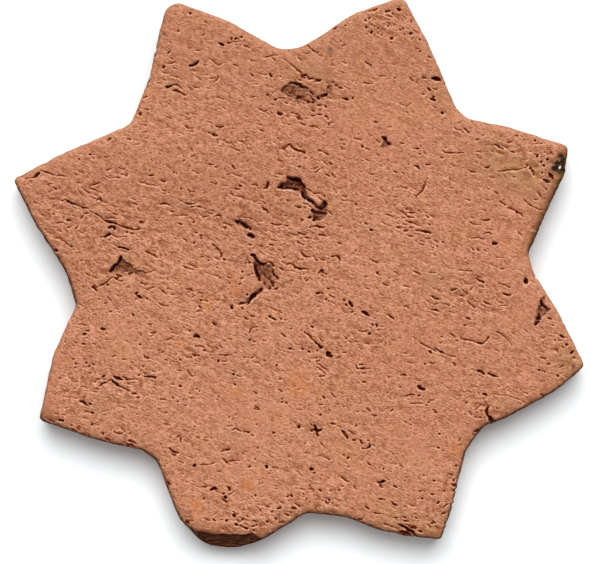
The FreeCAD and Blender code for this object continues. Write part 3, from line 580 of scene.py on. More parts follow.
LOWER_RIGHT = (
    (2.8, 298, 427, 300, 425), (1.2, 303, 427), (1.4, 296, 430), (1.4, 299, 433), (2.3, 314, 424, 315, 427),
    (2.9, 314, 428, 317, 430, 321, 429), (1.9, 310, 430, 313, 429), (2.1, 316, 432, 318, 435),
    (1.3, 309, 422, 313, 425), (1.2, 335, 425, 341, 428), (2.1, 341, 430, 345, 434, 347, 438),
    (1.4, 347, 429, 351, 432, 357, 434), (2.4, 352, 439, 356, 439), (2.1, 359, 439, 362, 443),
    (2.3, 361, 447, 363, 449), (2.0, 364, 448, 369, 446, 368, 443), (1.4, 370, 443, 374, 446),
    (1.4, 371, 450), (1.4, 303, 443, 306, 441), (1.2, 319, 441, 322, 445, 326, 449),
    (1.4, 317, 455, 321, 455, 330, 459), (2.4, 309, 453), (1.5, 342, 453, 344, 455), (2.1, 348, 457),
    (1.3, 353, 455, 356, 455), (2.0, 348, 466), (2.9, 310, 468, 312, 469), (1.5, 313, 473, 316, 472),
    (1.5, 367, 462, 371, 464), (1.3, 362, 459), (1.6, 390, 459), (2.3, 383, 468), (1.4, 394, 464, 396, 463),
    (1.5, 400, 465, 403, 467), (1.7, 340, 476, 344, 479, 348, 481), (1.6, 353, 485, 356, 488),
    (1.5, 337, 490, 340, 490), (1.3, 342, 486), (1.3, 307, 484, 315, 491), (1.8, 319, 489, 322, 491),
    (1.3, 299, 488, 305, 489), (1.4, 306, 481), (1.4, 353, 494, 355, 494),
    (1.7, 376, 481, 379, 482, 380, 486, 382, 487), (3.2, 381, 481, 385, 480), (2.0, 393, 485, 396, 487),
    (1.3, 405, 479), (1.6, 423, 474), (2.0, 432, 480, 434, 480), (1.8, 438, 447), (1.6, 434, 446),
    (1.9, 439, 434), (1.4, 441, 449, 443, 451), (2.0, 418, 491, 421, 490), (1.3, 421, 490, 425, 491),
    (2.0, 422, 498), (1.4, 418, 498), (1.8, 430, 493, 434, 494), (2.0, 437, 503, 439, 501),
    (1.8, 379, 498, 385, 499), (2.0, 391, 501, 394, 504, 396, 505), (1.4, 401, 504, 404, 506),
    (1.3, 407, 503, 414, 506), (1.7, 365, 506, 368, 509), (2.0, 306, 498, 308, 499),
    (1.4, 301, 493, 304, 494), (1.4, 323, 497, 327, 498), (1.5, 324, 500, 326, 503, 329, 502),
    (2.1, 328, 499), (1.6, 374, 512, 381, 513), (1.8, 393, 517, 397, 517), (2.2, 404, 517),
    (1.9, 403, 520, 408, 521), (1.6, 413, 516, 416, 518), (1.4, 409, 514, 412, 517),
    (2.0, 357, 519, 362, 518), (1.7, 383, 523, 388, 524), (1.3, 388, 524, 398, 528),
    (2.8, 398, 523, 404, 526, 410, 530, 413, 533, 415, 536), (1.8, 405, 523, 411, 526.5, 415, 529),
    (3.8, 397, 532, 400, 531, 405, 532, 410, 535), (1.8, 412, 525, 416, 528), (2.3, 418, 531, 421, 532),
    (2.3, 430, 523, 432, 522), (1.6, 431, 520, 435, 523),
)
BOTTOM_PITS = (
    (2.9, 235, 523, 237, 525), (2.3, 239, 525, 247, 528), (2.3, 252, 520, 256, 521), (1.8, 258, 521),
    (1.8, 243, 519), (1.6, 241, 521), (1.7, 262, 505), (1.6, 260, 510), (1.7, 261, 515), (1.7, 263, 518),
    (1.7, 268, 530), (1.9, 277, 508, 281, 507), (2.0, 266, 520, 268, 521), (1.8, 274, 517, 276, 520),
    (1.6, 284, 513, 289, 515), (1.5, 288, 511, 292, 513), (1.9, 291, 507, 296, 508),
    (2.0, 290, 493, 292, 496), (1.6, 287, 496), (1.6, 288, 500), (1.6, 294, 503, 300, 506), (1.9, 255, 495),
    (1.5, 259, 483), (1.5, 262, 482), (1.4, 260, 487), (1.6, 266, 514), (1.8, 252, 526, 257, 525),
    (1.6, 251, 529, 254, 531), (1.6, 245, 515, 248, 516), (1.7, 236, 519, 240, 522),
    (1.5, 270, 511, 273, 512), (1.5, 257, 504, 260, 505), (1.5, 266, 505, 270, 507),
    (1.5, 281, 501, 284, 503), (1.8, 278, 522, 284, 521),
)
MARKS = (
    TOP_LEFT_POINT + UPPER_LEFT + TOP_RIGHT_POINT + TORN_PATCH_EDGES + RIGHT_POINT_TOP + LEFT_POINT
    + LEFT_HOLLOW_EDGES + LOWER_LEFT + UPPER_MIDDLE + MIDDLE_HOLLOW_EDGES + KEY_HOLLOW_EDGES
    + UPPER_RIGHT + LEFT_MIDDLE + RIGHT_MIDDLE + RIGHT_SIDE + LOWER_RIGHT + BOTTOM_PITS
)


def from_photo(places):
    """Millimetres to the right and up from the centre, from pixels of the photo."""
    pixels = np.array(places, float).reshape(-1, 2)
    return (pixels - CENTRE_PIXEL) / PIXELS_PER_MM * (1, -1)


def near(path, reach):
    """The part of the lattice within reach of a path."""
    first = ((path.min(axis=0) - reach - (columns[0], rows[0])) / LATTICE).astype(int)
    last = ((path.max(axis=0) + reach - (columns[0], rows[0])) / LATTICE).astype(int) + 2
    first_col, first_row = np.maximum(first, 0)
    last_col, last_row = np.maximum(last, 0)
    return np.s_[first_row:last_row, first_col:last_col]


def from_path(path, right, up):
    """How far places lie from a path, how far along it, 0 to 1, and how squarely below it, up to 1."""
    if len(path) == 1:
        away = np.hypot(right - path[0, 0], up - path[0, 1])
        return away, np.full(right.shape, 0.5), (path[0, 1] - up) / (away + TOUCHING)
    steps = np.hypot(*np.diff(path, axis=0).T)
    starts = np.concatenate([[0], np.cumsum(steps)])
    best = np.full(right.shape, np.inf)
    along = np.zeros(right.shape)
    below = np.zeros(right.shape)
    for start, end, step, begun in zip(path, path[1:], steps, starts):
        run = end - start
        share = ((right - start[0]) * run[0] + (up - start[1]) * run[1]) / step ** 2
        share = np.clip(share, 0, 1)
        away = np.hypot(right - start[0] - share * run[0], up - start[1] - share * run[1])
        nearer = away < best
        best = np.where(nearer, away, best)
        along = np.where(nearer, (begun + share * step) / starts[-1], along)
        below = np.where(nearer, (start[1] + share * run[1] - up) / (away + TOUCHING), below)
    return best, along, below


carved = np.zeros(RIGHT.shape)
raised = np.zeros(RIGHT.shape)
soil_and_shade = np.zeros(RIGHT.shape)
pale = np.zeros(RIGHT.shape)


def carve(path, width, dark_width, depth, bed_darkness):
    """Sinks a groove narrower at its ends, darkens its bed with soil and painted shade, and pushes up a low
    lip under it, painted pale as a highlight.
    """
    half = width / 2
    beside = near(path, 3 * width + LIP_ROOM)
    away, along, below = from_path(path, TORN_RIGHT[beside], TORN_UP[beside])
    fullness = np.sqrt(np.sin(np.pi * np.clip(along, 0, 1)))
    taper = (TIP_WIDTH + MIDDLE_WIDTH * fullness) * PINCH[beside]
    groove = np.clip(1 - (away / (half * taper)) ** 2, 0, 1) ** BED_ROUND
    carved[beside] = np.maximum(carved[beside], depth * taper * groove)
    bed = np.clip(DARK_EDGE[0] - DARK_EDGE[1] * (away / (dark_width / 2 * taper)) ** 2, 0, 1)
    soil_and_shade[beside] = np.maximum(soil_and_shade[beside], bed_darkness * bed)
    reach = np.maximum(LIP_WIDTH * half * taper, LEAST_LIP)
    lip = np.exp(-((away - half * taper - 0.5 * reach) / reach) ** 2)
    lip = lip * np.clip(LIP_ALL_ROUND + below, 0, 1)
    raised[beside] = np.maximum(raised[beside], LIP_HEIGHT * depth * lip)
    pale[beside] = np.maximum(pale[beside], min(LIP_PALE + bed_darkness, 1.0) * lip)


for width, *places in MARKS:
    depth = HAIR_DEPTH + WIDE_DEPTH * max(width - HAIR, 0) ** WIDE_DEPTH_POWER
    bed_darkness = HAIR_DARKNESS + WIDE_DARKNESS * (width - HAIR) + (PINHOLE_DARKNESS if len(places) == 2 else 0.0)
    groove_width = (width + SPREAD) / PIXELS_PER_MM
    dark_width = (width - DARK_SHRINK) / PIXELS_PER_MM
    carve(from_photo(places), groove_width, dark_width, depth, min(bed_darkness, 1.0))

# Torn lips below the large hollows, raised and painted bright as highlights, and other lips painted pale as
# highlights: width, then places.
BRIGHT_LIPS = (
    (2.4, 283, 190.6, 288, 190.6), (2.8, 288, 190.8, 296, 191, 299.5, 191.8),
    (2.8, 299.8, 193, 301, 196, 302.5, 199), (3.0, 303, 200, 307, 202.5, 311, 204.8, 316, 209.5),
    (2.6, 248.5, 304, 253, 300, 257, 296.5, 261, 292.5), (2.2, 263, 291, 268, 290),
    (2.4, 541, 318.5, 545, 315, 549, 311),
)
HIGHLIGHT_LIPS = (
    (6.0, 310, 195, 315, 198, 318, 201), (3.0, 41, 178, 50, 179.5), (2.4, 310, 99, 314, 99.5),
    (2.0, 302, 103.5, 306, 104.5), (2.2, 320, 107, 325, 108), (2.0, 301, 112, 307, 112.5),
    (2.2, 326, 99, 331, 101), (5.0, 122, 277, 132, 279), (2.2, 262, 281, 267, 287),
    (2.2, 318, 216.5, 324, 217), (2.2, 240, 226, 244, 229), (2.0, 126, 447, 135, 448),
    (2.0, 328, 358, 332, 357), (2.0, 489, 424, 492, 422), (2.0, 250, 238, 254, 240),
    (2.2, 383, 141, 386, 145),
)

# The ragged upper edge of the break, from left to right.
BREAK_EDGE = (
    180, 524, 186, 527, 189, 528.5, 195, 530, 203, 531, 209, 531.5, 215, 532.5, 221, 532,
    228, 533.5, 235, 533, 241, 534, 246, 533, 250, 531.5, 253, 532, 256, 534.5, 259, 536,
    263, 538.5, 270, 543,
)
BREAK_BLEND = 0.25                  # mm under that edge, over which the broken clay begins
break_edge = from_photo(BREAK_EDGE)
under_edge = np.interp(TORN_RIGHT, *break_edge.T) - TORN_UP
under_edge[(RIGHT < break_edge[0, 0]) | (RIGHT > break_edge[-1, 0])] = 0
broken = np.clip(under_edge / BREAK_BLEND, 0, 1)

# Patches where the grain of the clay broke up, and others rubbed smooth: width, then places.
ROUGH_PATCHES = (
    (16, 188, 204, 204, 206), (9, 160, 204, 171, 205), (14, 452, 280, 484, 292), (28, 70, 385, 130, 392),
    (16, 452, 300, 500, 310), (14, 398, 210, 416, 214), (14, 298, 236, 312, 238), (12, 87, 275, 97, 277),
    (26, 290, 94, 330, 98), (26, 240, 520, 290, 516), (18, 320, 503, 332, 505), (16, 452, 480, 446, 506),
    (20, 380, 20, 402, 24), (24, 396, 520, 440, 524), (20, 340, 335, 380, 340), (18, 540, 345, 566, 356),
    (26, 250, 215, 300, 232), (24, 60, 205, 120, 222), (20, 500, 150, 545, 165), (20, 470, 395, 495, 415),
    (16, 255, 255, 285, 280), (16, 225, 290, 250, 305), (22, 100, 265, 145, 275), (20, 180, 355, 215, 352),
)
COARSE_SIDE = ((150, 100, 225, 250, 215), (60, 500, 160, 550, 175))
SMOOTH_PATCHES = (
    (60, 350, 120, 410, 115), (50, 500, 230, 525, 250), (40, 400, 345, 420, 350), (40, 245, 470, 250, 440),
    (40, 330, 440, 360, 470), (36, 400, 440, 430, 460), (40, 120, 335, 125, 345), (44, 230, 400, 270, 410),
    (36, 520, 320, 520, 300), (30, 60, 350, 52, 395),
)


def brush(marks):
    """A soft map, 0 to 1, of strokes given as a width and the places that they run through."""
    field = np.zeros(RIGHT.shape)
    for width, *places in marks:
        path = from_photo(places)
        half = width / PIXELS_PER_MM / 2
        beside = near(path, 3 * half)
        away, _, _ = from_path(path, TORN_RIGHT[beside], TORN_UP[beside])
        field[beside] = np.maximum(field[beside], np.exp(-(away / half) ** 2))
    return field


COARSENESS = 0.4                    # of the coarse side, as a share of a rough patch
SMOOTHNESS = 0.6                    # what a smooth patch takes off
# The listed lips are painted pale as highlights, by this share.
LIP_HIGHLIGHT_SHARE = 0.7                    # how pale the listed lips are
rough = brush(ROUGH_PATCHES) + COARSENESS * brush(COARSE_SIDE) - SMOOTHNESS * brush(SMOOTH_PATCHES)
rough = np.clip(rough, -SMOOTHNESS, 1)
torn_lips = brush(BRIGHT_LIPS)
pale = np.maximum(pale, LIP_HIGHLIGHT_SHARE * brush(HIGHLIGHT_LIPS))

# Small nicks all over, more of them where the clay is rough and in the left half. Their measures
# are the least and what the largest have more, in millimetres, and for the soil and painted shade in their
# beds as a share.
NICKS = 4600
NICK_CHANCE = 0.5                   # that one of them is there on even clay
ROUGH_CHANCE = 0.3                  # more where it is rough
LEFT_CHANCE = 0.12                  # more in the left half
NICK_TURN = math.radians(50)        # between the ways that they lie
NICK_LENGTH = (0.5, 1.8)
NICK_WIDTH = (0.45, 0.3)
NICK_DARK_WIDTH = (0.32, 0.22)
NICK_DEPTH = (0.07, 0.14)
NICK_DARKNESS = (0.05, 0.33)
for right, up in seeds.uniform(rim.min(axis=0), rim.max(axis=0), (NICKS, 2)):
    roughness = read_at(rough, np.array([right]), np.array([up]))[0]
    leftness = LEFT_CHANCE if right < 0 else 0.0
    chance, size, turn, sunk = seeds.uniform(0, 1, 4)
    if chance > NICK_CHANCE + ROUGH_CHANCE * roughness + leftness:
        continue
    length = NICK_LENGTH[0] + NICK_LENGTH[1] * size ** 2
    slant = GRAIN + NICK_TURN * (turn - 0.5)
    run = np.array([math.cos(slant), math.sin(slant)]) * length / 2
    nick = np.array([(right, up) - run, (right, up) + run])
    width, dark_width = (least + more * size for least, more in (NICK_WIDTH, NICK_DARK_WIDTH))
    depth, bed_darkness = (least + more * sunk for least, more in (NICK_DEPTH, NICK_DARKNESS))
    carve(nick, width, dark_width, depth, bed_darkness)

# Grooves inside the large hollows make them only a little deeper.
DEEPER = 0.3                        # share of a groove's depth that adds to a hollow's
TORN_LIP = 0.15                     # mm that a torn lip stands up
relief = np.minimum(worn_fall, -carved) - DEEPER * np.minimum(-worn_fall, carved)
relief = relief + raised + TORN_LIP * torn_lips

# The lumps that rolling and drying left, in millimetres: their height, then how long and wide.
uneven = 0.16 * lumps(5.0, 2.6) + (0.09 + 0.14 * rough) * lumps(2.6, 1.2)
uneven = uneven + (0.03 + 0.09 * rough) * lumps(1.4, 0.7)
uneven = uneven + 0.16 * np.clip(rough, 0, 1) * lumps(2.2, 1.5, 0.5)

# The floors of the hollows are crumbly, and the break shows the layers of the slab.
CRUMBLY_BELOW = 0.8                 # mm under the face
CRUMBLY_BLEND = 0.3
LAYERED_FROM = 0.7                  # mm in from the outline, so that it stays clean
LAYERED_BLEND = 1.2
LAYER_SLANT = -0.06                 # how the layers of the slab lie
sunken = softened(np.clip(-fall / CRUMBLY_BELOW, 0, 1), CRUMBLY_BLEND) * (1 - broken)
crumbled = sunken * (0.40 * lumps(1.9, 1.0, -0.5) + 0.30 * lumps(0.9, 0.6))
layered = broken * np.clip((inset - LAYERED_FROM) / LAYERED_BLEND, 0, 1)
layered = layered * (0.55 * lumps(9.0, 0.9, LAYER_SLANT) + 0.3 * lumps(3.0, 0.6, LAYER_SLANT))
uneven = uneven + crumbled + layered

# The face rolls off a little towards the cut edge, more than the arris alone, and isn't quite even.
ROLL_REACH = 3.6                    # mm in from the outline
ROLL_FALL = 0.8
roll = ROLL_FALL * np.clip(1 - inset / ROLL_REACH, 0, 1) ** 2
relief = relief + uneven - roll + 0.22 * lumps(34, 34) + 0.08 * lumps(11, 8)

# Which way the nearest cut edge faces, as far as it matters near it: 1 up, -1 down.
FACING_BLEND = 0.5                  # mm, over which it turns from one way to the next
inset_up, inset_right = np.gradient(softened(inset, FACING_BLEND), LATTICE[1], LATTICE[0])
facing_up = np.clip(-inset_up, -1, 1)

# The clay body
# One closed skin: the face, the worn arris, the cut edge with its drag lines and the underside,
# which took the rough of the board. It is made in millimetres and thinned where the clay is even.

FACE_ARRIS = 1.2                    # mm, as the CAD tile has it
BACK_ARRIS = 1.0
BAND = 0.35                         # mm between the arris and the lattice of the face
ARRIS_RINGS = 5
EDGE_RINGS = 20
CREST_WEAR = 0.4                    # mm, over which a hollow that meets the arris is worn soft
BOARD_STEP = 2.0                    # mm, the lattice of the underside
MOST_FACES = 196000                 # of the finished skin
CLOSEST = 1e-6                      # mm between two points of the skin

point_blocks = []
triangle_blocks = []


def add_points(right, up, height):
    """Adds points to the skin and gives their numbers."""
    first = sum(len(block) for block in point_blocks)
    point_blocks.append(np.stack([right, up, height], 1))
    return np.arange(first, first + len(right))


def add_ring_walls(upper, lower):
    """Joins two rings of points that run anticlockwise, the upper one first."""
    upper_next, lower_next = np.roll(upper, -1), np.roll(lower, -1)
    triangle_blocks.append(np.stack([upper, lower, lower_next], 1))
    triangle_blocks.append(np.stack([upper, lower_next, upper_next], 1))


def add_band(outer, inner, loop_size, upward):
    """Fills a ring with triangles, through the points in it and round any loop that they begin with."""
    numbers = np.concatenate([outer, inner])
    places = np.concatenate(point_blocks)[numbers, :2]
    size = len(outer)
    edges = [(i, (i + 1) % size) for i in range(size)]
    edges += [(size + i, size + (i + 1) % loop_size) for i in range(loop_size)]
    found = delaunay_2d_cdt([Vector(place) for place in places.tolist()], edges, [], 1, CLOSEST)
    origins = [origin[0] for origin in found[3]]
    if len(set(origins)) != len(numbers):
        raise RuntimeError("points of the skin lie on each other")
    triangles = np.array(origins)[np.array(found[2])]
    middle = places[triangles].mean(axis=1)
    col, row = ((middle - (columns[0], rows[0])) / LATTICE).astype(int).T
    if loop_size:
        triangles = triangles[~cells[row, col]]
    triangles = numbers[triangles]
    triangle_blocks.append(triangles if upward else triangles[:, ::-1])


def loop_of(cells):
    """Lattice corners round a patch of cells, in order, as (row, column) pairs."""
    steps = {}
    padded = np.pad(cells, 1)
    for side, (down, across) in (("low", (-1, 0)), ("high", (1, 0)), ("left", (0, -1)), ("right", (0, 1))):
        beside = np.roll(padded, (-down, -across), axis=(0, 1))[1:-1, 1:-1]
        for row, col in np.argwhere(cells & ~beside):
            start, end = {
                "low": ((row, col), (row, col + 1)),
                "right": ((row, col + 1), (row + 1, col + 1)),
                "high": ((row + 1, col + 1), (row + 1, col)),
                "left": ((row + 1, col), (row, col)),
            }[side]
            steps.setdefault(tuple(int(v) for v in start), []).append(tuple(int(v) for v in end))
    if any(len(ends) > 1 for ends in steps.values()):
        raise RuntimeError("the patch of cells touches itself at a corner")
    start = here = next(iter(steps))
    loop = []
    while not loop or here != start:
        loop.append(here)
        here = steps[here][0]
    if len(loop) != len(steps):
        raise RuntimeError("the patch of cells is in more than one piece")
    return loop


# The lattice of the face, where it lies clear of the arris.
clear = inset > FACE_ARRIS + BAND
cells = clear[:-1, :-1] & clear[1:, :-1] & clear[:-1, 1:] & clear[1:, 1:]
used = np.zeros(RIGHT.shape, bool)
for down, across in ((0, 0), (0, 1), (1, 0), (1, 1)):
    used[down:used.shape[0] - 1 + down, across:used.shape[1] - 1 + across] |= cells
face_numbers = np.full(RIGHT.shape, -1)
face_numbers[used] = add_points(RIGHT[used], UP[used], THICKNESS + relief[used])
lower_left, lower_right = face_numbers[:-1, :-1][cells], face_numbers[:-1, 1:][cells]
upper_left, upper_right = face_numbers[1:, :-1][cells], face_numbers[1:, 1:][cells]
triangle_blocks.append(np.stack([lower_left, lower_right, upper_right], 1))
triangle_blocks.append(np.stack([lower_left, upper_right, upper_left], 1))
face_loop = np.array([face_numbers[corner] for corner in loop_of(cells)])

# The arris, from the face to the cut edge.
crest_places = rim - rim_outward * FACE_ARRIS
crest = np.minimum(read_at(softened(fall, CREST_WEAR), *crest_places.T), 0)
rings = []
for step in range(ARRIS_RINGS + 1):
    angle = math.pi / 2 * step / ARRIS_RINGS
    ring = rim - rim_outward * FACE_ARRIS * (1 - math.sin(angle))
    rise = read_at(relief + roll - worn_fall, *ring.T)
    height = THICKNESS + crest - FACE_ARRIS * (1 - math.cos(angle)) + rise * math.cos(angle)
    height = height - read_at(roll, *ring.T) * math.cos(angle)
    ring = ring + rim_outward * (rise * math.sin(angle))[:, None]
    rings.append(add_points(ring[:, 0], ring[:, 1], height))
rim_rise = rise
rim_top = height
add_band(rings[0], face_loop, len(face_loop), True)

# The cut edge. The knife left it upright, with drag lines along it and small tears.
FULLY_TORN = 4                      # the tears are full from a quarter of the way down
FACE_MARKS_FADE = 5                 # how fast the marks of the face die out down the edge
TORN_BACK = 0.15                    # mm that the torn edge lies behind the clean cut
round_the_rim = np.arange(len(rim)) / len(rim)


def edge_lumps(count, depths):
    """Seeded unevenness of the cut edge: so many lumps round the tile, by so many down its side."""
    grid = seeds.uniform(-1, 1, (depths + 2, count))

    def at(depth):
        col = round_the_rim * count
        row = np.full(len(rim), min(max(depth, 0), 1) * depths)
        here, level = col.astype(int), row.astype(int)
        share, rise = col - here, row - level
        share = share * share * (3 - 2 * share)
        rise = rise * rise * (3 - 2 * rise)
        here, beside = here % count, (here + 1) % count
        above = grid[level, here] * (1 - share) + grid[level, beside] * share
        below = grid[level + 1, here] * (1 - share) + grid[level + 1, beside] * share
        return above * (1 - rise) + below * rise
    return at


# How far the drag lines stand out, in mm, and their lumps, from broad to fine.
edge_drags = (
    (0.22, edge_lumps(160, 5)),
    (0.12, edge_lumps(420, 16)),
    (0.06, edge_lumps(900, 24)),
)
for step in range(1, EDGE_RINGS + 1):
    share = step / EDGE_RINGS
    height = rim_top + (BACK_ARRIS - rim_top) * share
    drag = sum(size * drag_at(share) for size, drag_at in edge_drags) - TORN_BACK
    tear = min(1.0, FULLY_TORN * share) * drag
    tear = tear + rim_rise * math.exp(-FACE_MARKS_FADE * share)
    ring = rim + rim_outward * tear[:, None]
    rings.append(add_points(ring[:, 0], ring[:, 1], height))
for step in range(1, ARRIS_RINGS + 1):
    angle = math.pi / 2 * step / ARRIS_RINGS
    out = tear * math.cos(angle) - BACK_ARRIS * (1 - math.cos(angle))
    ring = rim + rim_outward * out[:, None]
    height = np.full(len(rim), BACK_ARRIS * (1 - math.sin(angle)))
    rings.append(add_points(ring[:, 0], ring[:, 1], height))
for upper, lower in zip(rings, rings[1:]):
    add_ring_walls(upper, lower)

# The underside, with the faint waves of the board that the clay dried on.
BOARD_CLEARANCE = 0.03              # mm over the floor, at the least
BOARD_WAVE = 0.12                   # mm high
WAVE_RIGHT = 5.3                    # mm, how long the waves are to the right
WAVE_UP = 9.1                       # mm, and how long up
WAVE_BEND = (1.3, 17.0)             # how far their lines bend, and over how many mm
board_columns = np.arange(lattice_start[0], columns[-1], BOARD_STEP)
board_rows = np.arange(lattice_start[1], rows[-1], BOARD_STEP)
board_right, board_up = (side.ravel() for side in np.meshgrid(board_columns, board_rows))
on_the_board = read_at(inset, board_right, board_up) > BACK_ARRIS + BOARD_STEP / 2
board_right, board_up = board_right[on_the_board], board_up[on_the_board]
bent = board_right / WAVE_RIGHT + WAVE_BEND[0] * np.sin(board_up / WAVE_BEND[1])
waves = BOARD_CLEARANCE + BOARD_WAVE * (1 + np.sin(bent) * np.cos(board_up / WAVE_UP))
add_band(rings[-1], add_points(board_right, board_up, waves), 0, False)

# The whole skin, thinned where it is flat enough.
skin_right, skin_up, skin_height = np.concatenate(point_blocks).T
skin_points = np.stack([*on_the_tile(skin_right, skin_up), skin_height], 1)
skin_triangles = np.concatenate(triangle_blocks)
full = bpy.data.meshes.new("clay_full")
full.from_pydata(skin_points.tolist(), [], skin_triangles.tolist())
tile = bpy.data.objects.new("terracotta_star", full)
bpy.context.scene.collection.objects.link(tile)
thinner = tile.modifiers.new("thinner", "DECIMATE")
thinner.ratio = MOST_FACES / len(skin_triangles)
clay = bpy.data.meshes.new_from_object(tile.evaluated_get(bpy.context.evaluated_depsgraph_get()))
tile.modifiers.clear()
tile.data = clay
clay.name = "terracotta_star"
clay.transform(Matrix.Scale(MM, 4))
bpy.data.meshes.remove(full)
clay.shade_smooth()

# Colour of the clay
# Iron-red clay fired to a pale orange brown. Soil and painted shade sit in the pits, humps are paler, lips
# are painted pale as highlights, and there are stains, pebbles and grit, a soot mark and orange blotches,
# and painted shade over the upper part and along some edges. These are listed like the marks, in pixels of
# the photo: first how far they reach, then the places on their line.

OCHRE_BLOTCHES = (
    (10, 232, 276, 235, 292), (18, 296, 378, 300, 388), (10, 236, 392), (14, 246, 484), (14, 196, 505),
    (12, 205, 302), (8, 180, 345), (6, 69, 360), (10, 455, 450),
)
SOOT_MARKS = (
    (8, 560, 155, 563, 161, 563, 169), (8, 556, 163, 559, 170), (5, 552, 168, 556, 169), (4, 546, 180),
    (2.5, 72, 246), (3, 69, 350),
)
WHITE_GRAIN = ((3.6, 559.2, 167.5),)
# Painted shade along the right edge of the right point and at the lower left point, where the arris turns
# from the light.
SHADED_ARRIS = ((7, 565, 172, 552, 197, 541, 218, 531, 246), (5, 541, 214, 533, 236), (6, 43, 414, 52, 420))
# Brown stains. The first three are painted shade: along the right edge of the right point, at the lower
# left point and under the upper edge of the break.
BROWN_STAINS_AND_SHADE = (
    (9, 565, 150, 551, 195, 538, 222, 530, 247), (8, 44, 408, 60, 420), (10, 190, 528, 262, 532),
    (6, 420, 532, 440, 534), (12, 312, 428), (9, 330, 50), (10, 240, 258), (9, 475, 278),
    (9, 187, 204, 205, 206), (5, 240, 218, 253, 221), (4, 100, 284, 114, 277), (6, 108, 224, 130, 229),
    (7, 330, 84, 329, 91), (6, 402, 210, 404, 214), (5, 66, 200, 88, 208), (6, 462, 290, 470, 296),
    (6, 172, 78, 178, 84), (5, 218, 216, 222, 222),
)
BROWN_VEILS = (
    (60, 175, 205, 235, 225, 300, 200), (40, 250, 285, 300, 290), (26, 288, 92, 325, 97),
    (30, 545, 200, 550, 165), (24, 40, 178, 60, 186), (30, 90, 262, 140, 268),
)
# Painted shade: the upper part of the face is a little darker.
SHADED_SIDES = (
    (80, 60, 185, 240, 185), (90, 190, 50, 310, 62), (70, 330, 40, 440, 70), (60, 470, 165, 545, 180),
)
OLIVE_VEILS = (
    (44, 500, 160, 545, 190), (36, 395, 512, 440, 525), (14, 505, 195), (12, 140, 255), (10, 500, 403),
    (26, 560, 352, 572, 366), (30, 310, 72, 318, 74), (26, 436, 280, 444, 284), (22, 100, 404, 106, 408),
)
GRIT = ((6, 330, 50), (5, 69, 349), (6, 123, 431), (9, 236, 430), (4, 573, 366), (4, 422, 340))
PEBBLES = ((5.5, 163, 33), (4.4, 573, 367), (3, 422, 77), (3, 330, 49), (3.5, 441, 278))

clay_points = np.zeros(len(clay.vertices) * 3)
clay.vertices.foreach_get("co", clay_points)
clay_points = clay_points.reshape(-1, 3) / MM
place_right, place_up = under_camera(clay_points[:, 0], clay_points[:, 1])

# A mark of the face runs on over the arris and dies out a little way down the cut edge.
MARKED_DOWN = 1.8                   # mm below the face
FADE = 1.2
UNMARKED = 4.0                      # mm above the underside, below which there are none at all
INSIDE_ARRIS = 0.3                  # mm in from the arris, where the height of the face is read
FARTHEST_IN = 0.6                   # mm past the arris, as far as a point looks in for it
EDGE_FROM = 0.6                     # mm in from the outline, where the cut edge begins
EDGE_BLEND = 0.3
from_rim = read_at(inset, place_right, place_up)
push = np.clip(FACE_ARRIS + INSIDE_ARRIS - from_rim, 0, FACE_ARRIS + FARTHEST_IN)
inner_right = place_right + push * read_at(inset_right, place_right, place_up)
inner_up = place_up + push * read_at(inset_up, place_right, place_up)
face_height = THICKNESS + read_at(worn_fall, inner_right, inner_up)
down_the_edge = np.clip((face_height - clay_points[:, 2] - MARKED_DOWN) / FADE, 0, 1)
on_the_edge = np.clip((EDGE_FROM - from_rim) / EDGE_BLEND, 0, 1)
on_top = (1 - down_the_edge * on_the_edge) * (clay_points[:, 2] > UNMARKED)


def store(name, field):
    """Keeps the values of a map with the points of the clay, for its material to read."""
    attribute = clay.attributes.new(name, "FLOAT", "POINT")
    values = read_at(field, place_right, place_up) * on_top
    attribute.data.foreach_set("value", values.astype(np.float32))


# Soil and painted shade in the grooves, and lips painted pale as highlights, but not where the grooves are
# dark, in the break or in the hollows.
DARK_WINS = 2.5                     # how soon soil hides the rubbed clay
HOLLOW_DULLS = 0.8                  # share of the rubbed clay that a hollow takes off
DEEP = 2.4                          # mm under the face, where a hollow counts in full
DEEP_BLEND = 0.25
in_hollow = softened(np.clip(-fall / DEEP, 0, 1) * (1 - broken), DEEP_BLEND)
painted_pale_lips = pale * (1 - np.clip(soil_and_shade * DARK_WINS, 0, 1)) * (1 - broken)
store("soil_and_shade", soil_and_shade)
store("pale", painted_pale_lips * (1 - HOLLOW_DULLS * in_hollow))
store("torn_lips", torn_lips)
store("in_hollow", in_hollow)

# Dips made darker and humps made paler, against the clay round them.
ROUND_ABOUT = 1.2                   # mm that count as round them
FULL_HUMP = 0.25                    # mm of height that counts in full
EVEN_CLAY = 0.4                     # how rough even clay counts as
waviness = uneven - softened(uneven, ROUND_ABOUT)
store("low", np.clip(-waviness / FULL_HUMP, 0, 1))
store("high", np.clip(waviness / FULL_HUMP, 0, 1))
store("rough", np.clip(EVEN_CLAY + rough, 0, 1))

# The break, with a painted shadow darkest just under its upper edge.
DARKEST = 1.6                       # above 1, so that it is dark all through at first
DARK_UNDER = 0.9                    # mm
store("broken", broken)
store("shadow_under_break", broken * np.clip(DARKEST - under_edge / DARK_UNDER, 0, 1))

